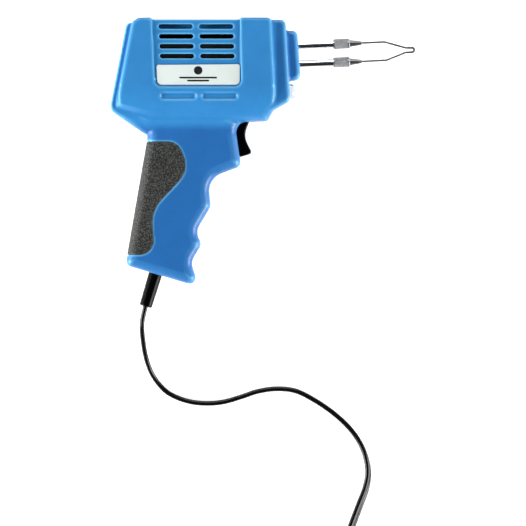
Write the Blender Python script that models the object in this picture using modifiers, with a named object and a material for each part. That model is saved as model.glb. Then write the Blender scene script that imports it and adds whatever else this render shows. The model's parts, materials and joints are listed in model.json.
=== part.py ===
"""Transformer soldering gun lying on its left cheek, with its trigger, tip wire, lamp and mains lead.

The frame: +X points from the handle's back to the tip, +Y is the gun's up, +Z is up from the table.
The origin is under the middle of the gun. Lengths are millimetres here and metres in the scene.
"""
import math

import bmesh
import bpy
import numpy as np
from mathutils import Matrix, Vector

MM = 0.001
GAP = 0.3                    # kept between neighbouring pieces

# Housing: half widths measured from the parting plane, which lies at this height
PARTING = 30.0
BODY_HALF = 30.0
STEP_HALF = 26.5             # the lower front step of the body
NOSE_HALF = 15.0             # the block that the two tubes come out of
SPINE_HALF = 23.0            # the band down the back
GRIP_HALF = 18.5
WALL = 2.4
GRIP_WALL = 3.8
SEAM = 0.15                  # half the line between the two shells

# Corners are x, y and the corner's radius, in order against the clock
BODY_CORNERS = [(-70.0, 19.0, 3.0), (-20.0, 18.4, 3.0), (2.8, 19.2, 2.8), (8.0, 29.0, 5.0),
                (5.15, 84.6, 2.6), (-78.9, 84.6, 2.6), (-83.0, 82.0, 2.6), (-93.6, 27.6, 4.0)]
SPINE_CORNERS = [(-70.0, 12.0, 3.0), (-70.0, 81.2, 3.0), (-86.7, 81.2, 2.6), (-97.4, 26.1, 5.0),
                 (-75.0, 10.9, 2.6)]
STEP_CORNERS = [(-10.0, 25.4, 2.6), (5.0, 25.4, 2.6), (17.1, 32.1, 4.5), (14.2, 83.2, 3.2),
                (-10.0, 83.2, 2.6)]
NOSE_CORNERS = [(5.0, 44.8, 2.4), (23.9, 44.8, 4.2), (21.7, 76.5, 3.6), (5.0, 76.5, 2.4)]
GRIP_CORNERS = [(-87.3, -72.3, 3.6), (-40.3, -86.2, 4.0), (-45.9, -70.4, 9.0), (-38.9, -58.8, 5.0),
                (-43.1, -51.3, 9.0), (-33.3, -35.0, 5.0), (-35.2, -17.2, 12.0), (-14.0, -9.3, 3.8),
                (-18.3, 19.4, 8.0), (-5.0, 19.6, 1.0), (-5.0, 30.0, 3.6), (-69.5, 30.0, 3.6)]
NECK_CORNERS = [(-73.4, 10.0, 0.0), (-19.4, 12.0, 0.0), (-19.4, 24.0, 0.0), (-82.0, 24.0, 0.0)]
PAD_CORNERS = [(-95.0, -65.3, 2.0), (-69.6, -65.0, 8.0), (-71.2, -37.5, 22.0), (-47.5, -12.0, 14.0),
               (-54.5, 5.5, 9.0), (-85.0, 5.7, 2.0)]
PAD_PROUD = 0.5              # the pad stands this far out of the grip's cheek
PAD_DEPTH = 1.4              # and reaches this far in
BODY_EDGE = 2.2
GRIP_EDGE = 3.2

SLOPE_TOP = 33.8             # where the cheek starts to fall away towards the grip
SLOPE_FOOT = 15.7            # where it reaches the grip's width

# Recessed panel on each cheek, its vents and the two blind slots below it
PANEL_CORNERS = [(-68.4, 41.1, 4.0), (-13.9, 41.1, 4.0), (-15.0, 92.0, 1.0), (-70.8, 92.0, 1.0)]
PANEL_DEPTH = 1.3
VENT_ROWS = [78.8, 72.6, 66.3, 60.1]
VENT_WIDTH = 2.8
VENT_LENGTH = 21.6
VENT_MIDDLES = [-55.4, -29.8]
VENT_DRIFT = 0.3             # each row starts this much further forward than the row above
BLIND_SLOT_Y = 35.5
BLIND_SLOT_WIDTH = 3.1
BLIND_SLOT_DEPTH = 1.2
BLIND_SLOT_X = [-53.7, -27.6]

# Tip end: two parallel tubes, tilted slightly upwards
TILT = math.radians(2.2)
TUBE_X = 23.4                # where the tubes leave the nose
TUBE_Y = {"upper": 67.3, "lower": 55.6}
TUBE_RADIUS = 2.5
TUBE_BACK = 18.6             # how far the tubes reach back from the nose
SLEEVE_START = 21.2
SLEEVE_LENGTH = 10.4
SLEEVE_RADIUS = 3.2
JAW_LENGTH = 7.6
WIRE_RADIUS = 0.6

# Trigger and switch
TRIGGER_PIVOT = (-14.0, 21.6)
TRIGGER_HALF = 7.5
PIN_RADIUS = 1.5
PIN_HALF_LENGTH = 12.0
PIVOT_BOSS_RADIUS = 3.4
PIVOT_BOSS_FROM = 8.4        # the pin's bosses, measured from the parting plane
PIVOT_BOSS_TO = 20.6
TRIGGER_CORNERS = [(-21.4, -2.6, 2.6), (-15.4, -4.0, 3.0), (-6.9, -1.3, 1.6), (-12.4, 9.6, 12.0),
                   (-8.9, 18.6, 2.0), (-9.0, 25.4, 3.4), (-18.8, 25.4, 3.4), (-22.2, 8.0, 3.0)]
SWITCH_LOW = (-52.0, -8.0, 22.0)
SWITCH_HIGH = (-32.0, 12.0, 38.0)
PLUNGER_Y = 3.0
PLUNGER_FRONT = -22.3
PLUNGER_HEAD = -26.0
PLUNGER_STEM_RADIUS = 2.0
PLUNGER_HEAD_RADIUS = 3.8
SPRING_RADIUS = 3.0
SPRING_WIRE = 0.3
SPRING_TURNS = 3.5
PLUNGER_BACK = -42.0

# Transformer: laminated core with one window
CORE_X = (-70.0, -16.0)
CORE_Y = (50.5, 68.5)
CORE_Z = (7.5, 52.5)
LIMB = 14.0
YOKE = 9.0
LOOP_RADIUS = 2.5

SCREWS = [(-84.5, 41.0), (-8.0, 78.6), (1.4, 26.6), (-70.5, 24.0), (-48.5, -42.0), (-52.0, -76.4)]
BOSS_RADIUS = 4.2
SCREW_RADIUS = 1.5
HEAD_RADIUS = 2.6

LAMP_Y = 38.0
LAMP_RADIUS = 4.7

# Mains lead: flat twin cord, its boot, the wound-up length and the plug
CORD_DIAMETER = 5.2
CORD_RADIUS = CORD_DIAMETER / 2
FLOOR_GAP = 0.15             # the cord and its plug lie this far above the table
CORD_REST = CORD_RADIUS + FLOOR_GAP
BOOT_TOP = (-68.4, -77.9)
BOOT_ANGLE = math.radians(17.0)
BOOT_LENGTH = 21.6
BOOT_RADIUS = 4.5            # where it leaves the grip
BOOT_END_RADIUS = 4.05
BOOT_FLANGE_RADIUS = 6.2     # the collar that holds it inside the shells
CORD_ROUTE = [(-74.9, -99.3, 30.0), (-76.9, -109.2, 27.6), (-76.4, -119.8, 21.2), (-74.4, -131.5, 12.9),
              (-70.4, -142.0, 6.4), (-63.2, -151.4, CORD_REST), (-55.4, -156.3, CORD_REST),
              (-45.6, -159.4, CORD_REST), (-35.1, -160.3, CORD_REST), (-24.4, -159.2, CORD_REST),
              (-12.7, -155.7, CORD_REST), (-3.3, -152.6, CORD_REST), (8.4, -151.0, CORD_REST),
              (20.1, -152.2, CORD_REST), (30.9, -157.2, CORD_REST), (43.4, -165.4, CORD_REST),
              (54.0, -174.9, CORD_REST), (61.1, -184.4, CORD_REST), (65.3, -194.2, CORD_REST),
              (66.9, -204.3, CORD_REST), (65.4, -214.2, CORD_REST), (61.4, -225.2, CORD_REST),
              (56.4, -238.4, CORD_REST), (48.7, -259.5, CORD_REST), (41.2, -280.2, CORD_REST)]
COIL_CENTRE = (0.0, -287.0)
COIL_OUTSIDE = 39.0
COIL_INSIDE = 18.2
COIL_HEIGHT = 10.4
COIL_RIM = 2.0
TAIL_START = -20.6
PLUG_BACK = -46.0
PLUG_LENGTH = 36.0
PLUG_HALF_THICK = 6.7
PLUG_HALF_WIDE = 17.6
PIN_SPACING = 18.6
PIN_LENGTH = 19.0
PIN_THICK = 2.0              # radius of a plug pin


def emptyScene():
    for thing in list(bpy.data.objects):
        bpy.data.objects.remove(thing, do_unlink=True)


emptyScene()
parts = bpy.data.collections.new("soldering_gun")
cutters = bpy.data.collections.new("cutters")
bpy.context.scene.collection.children.link(parts)
bpy.context.scene.collection.children.link(cutters)


def material(name, colour, roughness, metallic=0.0):
    made = bpy.data.materials.new(name)
    made.use_nodes = True
    shader = made.node_tree.nodes["Principled BSDF"]
    shader.inputs["Base Color"].default_value = (*colour, 1.0)
    shader.inputs["Roughness"].default_value = roughness
    shader.inputs["Metallic"].default_value = metallic
    return made


# ---- outlines

def shifted(corners, distance):
    """The same outline moved inwards by a distance, its corner radii following."""
    count = len(corners)
    points = [Vector(corner[:2]) for corner in corners]
    moved = []
    for i in range(count):
        before = (points[i] - points[i - 1]).normalized()
        after = (points[(i + 1) % count] - points[i]).normalized()
        bisector = Vector((-before.y - after.y, before.x + after.x)).normalized()
        reach = distance / bisector.dot(Vector((-after.y, after.x)))
        turnsLeft = before.cross(after) > 0
        radius = corners[i][2] - distance if turnsLeft else corners[i][2] + distance
        place = points[i] + bisector * reach
        moved.append((place.x, place.y, max(radius, 0.0)))
    return moved


def rounded(corners, closed=True, arcStep=math.radians(22.5)):
    """Points of an outline or a path whose corners are replaced by arcs."""
    count = len(corners)
    points = []
    for i in range(count):
        x, y, radius = corners[i]
        isEnd = not closed and i in (0, count - 1)
        if radius <= 0.0 or isEnd:
            points.append((x, y))
            continue
        here = Vector((x, y))
        before = (here - Vector(corners[i - 1][:2])).normalized()
        after = (Vector(corners[(i + 1) % count][:2]) - here).normalized()
        turn = before.angle_signed(after)
        tangent = radius * math.tan(abs(turn) / 2)
        side = 1.0 if before.cross(after) > 0 else -1.0
        centre = here - before * tangent + Vector((-before.y, before.x)) * radius * side
        first = here - before * tangent - centre
        steps = max(2, round(abs(turn) / arcStep))
        for k in range(steps + 1):
            swing = side * abs(turn) * k / steps
            arm = Matrix.Rotation(swing, 2) @ first
            points.append(tuple(centre + arm))
    return points


# ---- solids

def addObject(name, mesh):
    """A working solid, kept out of sight until it is published."""
    made = bpy.data.objects.new(name, mesh)
    cutters.objects.link(made)
    made.hide_render = True
    made.display_type = "WIRE"
    return made


def evaluatedMesh(thing):
    graph = bpy.context.evaluated_depsgraph_get()
    return bpy.data.meshes.new_from_object(thing.evaluated_get(graph))


def solidFrom(thing):
    """Replace a curve or a turned profile by its mesh in place, caps welded and faces outwards."""
    bpy.context.view_layer.update()
    mesh = evaluatedMesh(thing)
    work = bmesh.new()
    work.from_mesh(mesh)
    bmesh.ops.remove_doubles(work, verts=work.verts, dist=0.000002)
    bmesh.ops.recalc_face_normals(work, faces=work.faces)
    work.to_mesh(mesh)
    work.free()
    mesh.transform(thing.matrix_world)
    made = addObject(thing.name + "_solid", mesh)
    bpy.data.objects.remove(thing, do_unlink=True)
    return made


def plate(name, corners, low, high, edge=0.0):
    """A flat outline between two heights, with its rims rounded."""
    curve = bpy.data.curves.new(name, "CURVE")
    curve.dimensions = "2D"
    curve.fill_mode = "BOTH"
    curve.extrude = ((high - low) / 2 - edge) * MM
    curve.bevel_depth = edge * MM
    curve.bevel_resolution = 1
    curve.offset = -edge * MM
    points = rounded(corners)
    spline = curve.splines.new("POLY")
    spline.points.add(len(points) - 1)
    for point, (x, y) in zip(spline.points, points):
        point.co = (x * MM, y * MM, 0.0, 1.0)
    spline.use_cyclic_u = True
    outline = addObject(name, curve)
    outline.location.z = (low + high) / 2 * MM
    return solidFrom(outline)


def block(name, low, high):
    work = bmesh.new()
    size = Vector(high) - Vector(low)
    middle = (Vector(high) + Vector(low)) / 2
    place = Matrix.Translation(middle * MM) @ Matrix.Diagonal((*(size * MM), 1.0))
    bmesh.ops.create_cube(work, size=1.0, matrix=place)
    mesh = bpy.data.meshes.new(name)
    work.to_mesh(mesh)
    work.free()
    return addObject(name, mesh)


def rod(name, start, end, radius, endRadius=None, sides=16):
    """A round bar or a cone from one point to another."""
    work = bmesh.new()
    run = Vector(end) - Vector(start)
    turn = run.to_track_quat("Z", "Y").to_matrix().to_4x4()
    place = Matrix.Translation((Vector(start) + run / 2) * MM) @ turn
    second = radius if endRadius is None else endRadius
    bmesh.ops.create_cone(work, cap_ends=True, segments=sides, radius1=radius * MM,
                          radius2=second * MM, depth=run.length * MM, matrix=place)
    mesh = bpy.data.meshes.new(name)
    work.to_mesh(mesh)
    work.free()
    return addObject(name, mesh)


def turned(name, profile, start, direction, sides=24):
    """A profile of distance along the axis and radius, turned about the axis."""
    mesh = bpy.data.meshes.new(name)
    count = len(profile)
    closedLoop = profile[0][1] > 0.0
    edges = [(i, i + 1) for i in range(count - 1)]
    if closedLoop:
        edges.append((count - 1, 0))
    corners = [(radius * MM, 0.0, along * MM) for along, radius in profile]
    mesh.from_pydata(corners, edges, [])
    made = addObject(name, mesh)
    screw = made.modifiers.new("turn", "SCREW")
    screw.axis = "Z"
    screw.steps = sides
    screw.render_steps = sides
    screw.use_merge_vertices = True
    screw.merge_threshold = 0.000005
    screw.use_normal_calculate = True
    solid = solidFrom(made)
    turn = Vector(direction).to_track_quat("Z", "Y").to_matrix().to_4x4()
    solid.data.transform(Matrix.Translation(Vector(start) * MM) @ turn)
    return solid


def tube(name, points, radius, resolution=2):
    """A round wire through points in space, with closed ends."""
    curve = bpy.data.curves.new(name, "CURVE")
    curve.dimensions = "3D"
    curve.bevel_depth = radius * MM
    curve.bevel_resolution = resolution
    curve.use_fill_caps = True
    spline = curve.splines.new("POLY")
    spline.points.add(len(points) - 1)
    for point, place in zip(spline.points, points):
        point.co = (place[0] * MM, place[1] * MM, place[2] * MM, 1.0)
    return solidFrom(addObject(name, curve))


def combine(target, others, operation):
    """Join, cut or intersect a solid with others, one after the other."""
    for other in others:
        change = target.modifiers.new(operation, "BOOLEAN")
        change.operation = operation
        change.object = other
        bpy.context.view_layer.update()
        target.data = evaluatedMesh(target)
        target.modifiers.clear()
    return target


def copyOf(thing):
    return addObject(thing.name + "_copy", thing.data.copy())


def publish(name, thing, finish, pivot=(0.0, 0.0, 0.0), smooth=True):
    """Make a finished solid one of the gun's parts, its origin at its pivot."""
    cutters.objects.unlink(thing)
    parts.objects.link(thing)
    thing.name = name
    thing.data.name = name
    thing.hide_render = False
    thing.display_type = "TEXTURED"
    place = Vector(pivot) * MM
    thing.data.transform(Matrix.Translation(-place))
    thing.location = place
    thing.data.materials.clear()
    thing.data.materials.append(finish)
    if smooth:
        thing.data.shade_smooth()
        thing.data.set_sharp_from_angle(angle=math.radians(35))
    return thing


blueShell = material("blue_shell", (0.05, 0.22, 0.62), 0.38)
softPad = material("soft_pad", (0.02, 0.02, 0.022), 0.7)
blackPlastic = material("black_plastic", (0.015, 0.015, 0.016), 0.42)
whiteLabel = material("white_label", (0.82, 0.85, 0.84), 0.4)
screwSteel = material("screw_steel", (0.42, 0.43, 0.44), 0.35, 1.0)
coreSteel = material("core_steel", (0.16, 0.16, 0.17), 0.5, 1.0)
copper = material("copper", (0.72, 0.32, 0.18), 0.35, 1.0)
bobbinPlastic = material("bobbin_plastic", (0.65, 0.62, 0.52), 0.5)
chromePlate = material("chrome_plate", (0.78, 0.79, 0.8), 0.12, 1.0)
phenolic = material("phenolic", (0.22, 0.1, 0.04), 0.55)
tipCopper = material("tip_wire_metal", (0.2, 0.19, 0.18), 0.45, 1.0)
clearGlass = material("clear_glass", (0.92, 0.95, 0.96), 0.05)
brass = material("brass", (0.72, 0.55, 0.26), 0.3, 1.0)
cordRubber = material("cord_rubber", (0.018, 0.018, 0.02), 0.5)


# ---- housing

def mirroredPair(halfWidth):
    return PARTING - halfWidth, PARTING + halfWidth


def outerForm():
    body = plate("body", BODY_CORNERS, *mirroredPair(BODY_HALF), BODY_EDGE)
    neck = plate("neck", NECK_CORNERS, *mirroredPair(BODY_HALF))
    combine(body, [neck], "UNION")
    combine(body, slopes(0.0), "DIFFERENCE")
    spine = plate("spine", SPINE_CORNERS, *mirroredPair(SPINE_HALF), BODY_EDGE)
    combine(spine, slopes(0.0), "DIFFERENCE")
    pieces = [spine,
              plate("front_step", STEP_CORNERS, *mirroredPair(STEP_HALF), BODY_EDGE),
              plate("nose", NOSE_CORNERS, *mirroredPair(NOSE_HALF), BODY_EDGE),
              plate("grip", GRIP_CORNERS, *mirroredPair(GRIP_HALF), GRIP_EDGE)]
    return combine(body, pieces, "UNION")


def slopes(wall):
    """The two wedges taken off the cheeks where the body narrows to the grip."""
    wedges = []
    beyond = BODY_HALF + 2.0
    rise = (BODY_HALF - GRIP_HALF) / (SLOPE_TOP - SLOPE_FOOT)
    for side in (-1.0, 1.0):
        profile = [(SLOPE_FOOT, GRIP_HALF - wall), (-5.0, GRIP_HALF - wall), (-5.0, beyond),
                   (SLOPE_TOP + 2.0 / rise, beyond)]
        work = bmesh.new()
        ends = []
        for x in (-110.0, 30.0):
            ring = [work.verts.new((x * MM, y * MM, (PARTING + side * half) * MM)) for y, half in profile]
            ends.append(work.faces.new(ring))
        bmesh.ops.bridge_loops(work, edges=[edge for face in ends for edge in face.edges])
        bmesh.ops.recalc_face_normals(work, faces=work.faces)
        mesh = bpy.data.meshes.new("slope")
        work.to_mesh(mesh)
        work.free()
        wedges.append(addObject("slope", mesh))
    return wedges


def innerForm():
    body = plate("body_room", shifted(BODY_CORNERS, WALL), *mirroredPair(BODY_HALF - WALL))
    neck = plate("neck_room", shifted(NECK_CORNERS, WALL), *mirroredPair(BODY_HALF - WALL))
    combine(body, [neck], "UNION")
    combine(body, slopes(WALL), "DIFFERENCE")
    spine = plate("spine_room", shifted(SPINE_CORNERS, WALL), *mirroredPair(SPINE_HALF - WALL))
    combine(spine, slopes(WALL), "DIFFERENCE")
    pieces = [spine,
              plate("step_room", shifted(STEP_CORNERS, WALL), *mirroredPair(STEP_HALF - WALL)),
              plate("nose_room", shifted(NOSE_CORNERS, WALL), *mirroredPair(NOSE_HALF - WALL)),
              plate("grip_room", shifted(GRIP_CORNERS, GRIP_WALL), *mirroredPair(GRIP_HALF - GRIP_WALL))]
    return combine(body, pieces, "UNION")


def padForms():
    """The soft pad wrapped round the back of the grip, and the hollow it sits in."""
    pocketDepth = PAD_DEPTH + GAP
    floorEdge = 2.0
    region = plate("pad_region", PAD_CORNERS, *mirroredPair(GRIP_HALF + 3.0))
    pocketRegion = plate("pocket_region", shifted(PAD_CORNERS, -GAP), *mirroredPair(GRIP_HALF + 3.0))
    skin = plate("pad_skin", shifted(GRIP_CORNERS, -0.1), *mirroredPair(GRIP_HALF + PAD_PROUD), GRIP_EDGE)
    padFloor = plate("pad_floor", shifted(GRIP_CORNERS, PAD_DEPTH), *mirroredPair(GRIP_HALF - PAD_DEPTH),
                     floorEdge)
    pocketFloor = plate("pocket_floor", shifted(GRIP_CORNERS, pocketDepth),
                        *mirroredPair(GRIP_HALF - pocketDepth), floorEdge)
    combine(region, [skin], "INTERSECT")
    combine(region, [padFloor], "DIFFERENCE")
    combine(pocketRegion, [pocketFloor], "DIFFERENCE")
    return region, pocketRegion


def slotShape(middleX, middleY, length, width, low, high):
    half = width / 2
    corners = [(middleX - length / 2, middleY - half, half * 0.98),
               (middleX + length / 2, middleY - half, half * 0.98),
               (middleX + length / 2, middleY + half, half * 0.98),
               (middleX - length / 2, middleY + half, half * 0.98)]
    return plate("slot", corners, low, high)


def cheekCutters():
    """Panel, vents and blind slots, the same on both cheeks."""
    below, above = -1.0, 2 * PARTING + 1.0
    top = 2 * PARTING
    made = [plate("panel", PANEL_CORNERS, top - PANEL_DEPTH, above),
            plate("panel", PANEL_CORNERS, below, PANEL_DEPTH),
            block("panel_over_top", (-70.6, 84.6 - PANEL_DEPTH, below), (-15.0, 90.0, above))]
    for row, y in enumerate(VENT_ROWS):
        for x in VENT_MIDDLES:
            made.append(slotShape(x + VENT_DRIFT * row, y, VENT_LENGTH, VENT_WIDTH, below, above))
    for x in BLIND_SLOT_X:
        made.append(slotShape(x, BLIND_SLOT_Y, VENT_LENGTH, BLIND_SLOT_WIDTH, top - BLIND_SLOT_DEPTH, above))
        made.append(slotShape(x, BLIND_SLOT_Y, VENT_LENGTH, BLIND_SLOT_WIDTH, below, BLIND_SLOT_DEPTH))
    return made


def alongTube(which, distance):
    """A point on a tube's axis, this far in front of the nose."""
    return (TUBE_X + distance * math.cos(TILT), TUBE_Y[which] + distance * math.sin(TILT), PARTING)


def bootPoint(distance):
    """A point on the boot's axis, this far outside the grip."""
    return (BOOT_TOP[0] - distance * math.sin(BOOT_ANGLE), BOOT_TOP[1] - distance * math.cos(BOOT_ANGLE),
            PARTING)


def screwLevels(y):
    """Bottom of the counterbore, underside of the head and end of the shank."""
    return (12.0, 14.4, 44.0) if y > 10.0 else (16.5, 18.9, 40.0)


def bossTop(y):
    """Bosses end inside the shell, which is thinner over the slope and the grip."""
    if y > SLOPE_TOP:
        return 58.5
    return 52.5 if y > SLOPE_FOOT else 47.0


def housing():
    shell = outerForm()
    room = innerForm()
    combine(shell, [room], "DIFFERENCE")
    bosses = []
    for x, y in SCREWS:
        bosses.append(rod("boss", (x, y, 2 * PARTING - bossTop(y)), (x, y, bossTop(y)), BOSS_RADIUS))
    pivotX, pivotY = TRIGGER_PIVOT
    for side in (-1.0, 1.0):
        bosses.append(rod("pivot_boss", (pivotX, pivotY, PARTING + side * PIVOT_BOSS_FROM),
                          (pivotX, pivotY, PARTING + side * PIVOT_BOSS_TO), PIVOT_BOSS_RADIUS))
    combine(shell, bosses, "UNION")
    cuts = cheekCutters()
    for x, y in SCREWS:
        seat, under, end = screwLevels(y)
        cuts.append(rod("counterbore", (x, y, -1.0), (x, y, under), HEAD_RADIUS + 0.4))
        cuts.append(rod("pilot", (x, y, under - 1.0), (x, y, end + 1.0), SCREW_RADIUS + GAP))
    halfPin = PIN_HALF_LENGTH + 0.4
    cuts.append(rod("pivot_hole", (pivotX, pivotY, PARTING - halfPin), (pivotX, pivotY, PARTING + halfPin),
                    PIN_RADIUS + GAP))
    halfSlot = TRIGGER_HALF + 0.6
    cuts.append(block("trigger_slot", (-27.0, -4.9, PARTING - halfSlot), (-6.0, 22.0, PARTING + halfSlot)))
    for which in TUBE_Y:
        cuts.append(rod("tube_hole", alongTube(which, -8.0), alongTube(which, 4.0), TUBE_RADIUS + GAP))
    cuts.append(rod("lamp_hole", (10.0, LAMP_Y, PARTING), (20.0, LAMP_Y, PARTING), LAMP_RADIUS + 0.4))
    cuts.append(rod("boot_hole", bootPoint(-8.0), bootPoint(3.0), BOOT_RADIUS + GAP))
    pad, pocket = padForms()
    cuts.append(pocket)
    combine(shell, cuts, "DIFFERENCE")
    left = copyOf(shell)
    lowPad = copyOf(pad)
    above = block("above", (-120.0, -120.0, PARTING + SEAM), (120.0, 120.0, 80.0))
    below = block("below", (-120.0, -120.0, -20.0), (120.0, 120.0, PARTING - SEAM))
    publish("housing_right", combine(shell, [above], "INTERSECT"), blueShell)
    publish("housing_left", combine(left, [below], "INTERSECT"), blueShell)
    publish("grip_pad_right", combine(pad, [above], "INTERSECT"), softPad)
    publish("grip_pad_left", combine(lowPad, [below], "INTERSECT"), softPad)


def labels():
    corners = [(-66.9, 42.0, 2.8), (-14.8, 42.0, 2.8), (-14.8, 54.9, 1.4), (-67.6, 54.5, 1.4)]
    top = 2 * PARTING
    publish("label_right", plate("label", corners, top - 1.0, top - 0.7), whiteLabel)
    publish("label_left", plate("label", corners, 0.7, 1.0), whiteLabel)


def housingScrews():
    for number, (x, y) in enumerate(SCREWS, 1):
        seat, under, end = screwLevels(y)
        screw = rod("screw", (x, y, under - 1.0), (x, y, end), SCREW_RADIUS, sides=12)
        head = rod("screw_head", (x, y, seat), (x, y, under - GAP), HEAD_RADIUS)
        combine(screw, [head], "UNION")
        slot = block("screw_slot", (x - 3.0, y - 0.4, seat - 1.0), (x + 3.0, y + 0.4, seat + 0.9))
        combine(screw, [slot], "DIFFERENCE")
        publish(f"housing_screw_{number}", screw, screwSteel)


# ---- transformer

def transformer():
    x1, x2 = CORE_X
    y1, y2 = CORE_Y
    z1, z2 = CORE_Z
    core = block("core", (x1, y1, z1), (x2, y2, z2 - YOKE - GAP))
    window = block("window", (x1 + LIMB, y1 - 1, z1 + YOKE), (x2 - LIMB, y2 + 1, z2))
    combine(core, [window], "DIFFERENCE")
    keeper = block("keeper", (x1, y1, z2 - YOKE), (x2, y2, z2))
    boltX = x2 - LIMB / 2
    for number, (stack, z) in enumerate(((core, z1 + YOKE / 2), (keeper, z2 - YOKE / 2)), 1):
        hole = rod("bolt_hole", (boltX, y1 - 2, z), (boltX, y2 + 2, z), 2.3)
        combine(stack, [hole], "DIFFERENCE")
        bolt = rod("bolt", (boltX, y1 - 3.0, z), (boltX, y2 + 3.0, z), 2.0, sides=12)
        head = rod("bolt_head", (boltX, y1 - 3.2, z), (boltX, y1 - GAP, z), 3.6, sides=6)
        nut = rod("nut", (boltX, y2 + GAP, z), (boltX, y2 + 2.6, z), 3.6, sides=6)
        publish(f"core_bolt_{number}", combine(bolt, [head, nut], "UNION"), screwSteel, smooth=False)
    publish("core_limbs", core, coreSteel, smooth=False)
    publish("core_keeper", keeper, coreSteel, smooth=False)

    # Bobbin round the back limb, with the primary wound on it
    low, high = z1 + YOKE + GAP, z2 - YOKE - GAP
    flange = 1.3
    reach = 8.5
    wall = 1.2
    tubeLow = (x1 - GAP - wall, y1 - GAP - wall)
    tubeHigh = (x1 + LIMB + GAP + wall, y2 + GAP + wall)
    bobbin = block("bobbin", (*tubeLow, low), (*tubeHigh, high))
    rims = [block("flange", (x1 - reach, y1 - 7.5, low), (x1 + LIMB + reach, y2 + 7.5, low + flange)),
            block("flange", (x1 - reach, y1 - 7.5, high - flange), (x1 + LIMB + reach, y2 + 7.5, high))]
    combine(bobbin, rims, "UNION")
    limbHole = block("limb_hole", (x1 - GAP, y1 - GAP, low - 1), (x1 + LIMB + GAP, y2 + GAP, high + 1))
    publish("bobbin", combine(bobbin, [limbHole], "DIFFERENCE"), bobbinPlastic, smooth=False)
    left, right = x1 - reach + 1.0, x1 + LIMB + reach - 1.0
    bottom, top = y1 - 6.5, y2 + 6.5
    corners = [(left, bottom, 5.0), (right, bottom, 5.0), (right, top, 5.0), (left, top, 5.0)]
    winding = plate("winding", corners, low + flange + GAP, high - flange - GAP)
    sleeve = block("winding_hole", (tubeLow[0] - GAP, tubeLow[1] - GAP, 0.0),
                   (tubeHigh[0] + GAP, tubeHigh[1] + GAP, 60.0))
    publish("primary_winding", combine(winding, [sleeve], "DIFFERENCE"), copper)

    # One heavy copper turn round the front limb, its two ends meeting the tubes
    upper = alongTube("upper", -TUBE_BACK - GAP)
    lower = alongTube("lower", -TUBE_BACK - GAP)
    armY = LOOP_RADIUS + 0.5
    loopX = x2 - LIMB - 6.5
    path = [(upper[0], upper[1], 0.0), (-3.0, upper[1] - 0.2, 5.0), (-13.0, y2 + armY, 6.0),
            (loopX, y2 + armY, 5.0), (loopX, y1 - armY, 5.0), (-13.0, y1 - armY, 6.0),
            (-3.0, lower[1] - 0.2, 5.0), (lower[0], lower[1], 0.0)]
    route = [(x, y, PARTING) for x, y in rounded(path, closed=False)]
    publish("secondary_loop", tube("secondary", route, LOOP_RADIUS, 2), copper)


# ---- tip end

def tipEnd():
    spacer = block("spacer", (8.0, 49.5, 20.0), (15.0, 72.5, 40.0))
    forward = (math.cos(TILT), math.sin(TILT), 0.0)
    for which in TUBE_Y:
        hole = rod("spacer_hole", alongTube(which, -20.0), alongTube(which, 2.0), TUBE_RADIUS + GAP)
        combine(spacer, [hole], "DIFFERENCE")
    publish("tube_spacer", spacer, phenolic, smooth=False)

    bore = 1.6
    tubeEnd = SLEEVE_START + 5.4
    sleeveEnd = SLEEVE_START + SLEEVE_LENGTH
    for which in TUBE_Y:
        start = alongTube(which, 0.0)
        profile = [(-TUBE_BACK, bore), (tubeEnd, bore), (tubeEnd, TUBE_RADIUS), (-TUBE_BACK, TUBE_RADIUS)]
        publish(f"electrode_tube_{which}", turned("tube", profile, start, forward), chromePlate)
        hollow = TUBE_RADIUS + GAP
        rim = SLEEVE_RADIUS - 0.2
        profile = [(SLEEVE_START, hollow), (sleeveEnd, hollow), (sleeveEnd, rim),
                   (sleeveEnd - 0.5, SLEEVE_RADIUS), (SLEEVE_START + 0.5, SLEEVE_RADIUS), (SLEEVE_START, rim)]
        sleeve = turned("sleeve", profile, start, forward)
        publish(f"clamp_sleeve_{which}", sleeve, chromePlate, pivot=alongTube(which, SLEEVE_START))
        wireBore = WIRE_RADIUS + 0.25
        jawTip = sleeveEnd + JAW_LENGTH
        profile = [(SLEEVE_START + 1.0, wireBore), (jawTip, wireBore), (jawTip, 1.3), (sleeveEnd, 2.4),
                   (tubeEnd + GAP, 2.4), (tubeEnd + GAP, bore - GAP), (SLEEVE_START + 1.0, bore - GAP)]
        jaw = turned("jaw", profile, start, forward)
        cut = block("jaw_slot", (sleeveEnd - 2.0, -4.0, -0.35), (jawTip + 1.0, 4.0, 0.35))
        cut.data.transform(Matrix.Translation(Vector(start) * MM) @ Matrix.Rotation(TILT, 4, "Z"))
        publish(f"collet_jaw_{which}", combine(jaw, [cut], "DIFFERENCE"), chromePlate)

    jawTip = sleeveEnd + JAW_LENGTH
    inUpper = alongTube("upper", sleeveEnd - 1.5)
    outUpper = alongTube("upper", jawTip)
    inLower = alongTube("lower", sleeveEnd - 1.5)
    outLower = alongTube("lower", jawTip)
    path = [(*inUpper[:2], 0.0), (outUpper[0] + 1.5, outUpper[1] + 0.06, 4.0), (77.0, 69.8, 4.0),
            (90.6, 65.95, 4.0), (95.9, 66.2, 1.5), (95.9, 62.9, 1.5), (90.4, 62.6, 4.0),
            (78.4, 57.9, 4.0), (outLower[0] + 1.5, outLower[1] + 0.06, 4.0), (*inLower[:2], 0.0)]
    route = [(x, y, PARTING) for x, y in rounded(path, closed=False)]
    publish("tip_wire", tube("tip", route, WIRE_RADIUS, 2), tipCopper)


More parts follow.
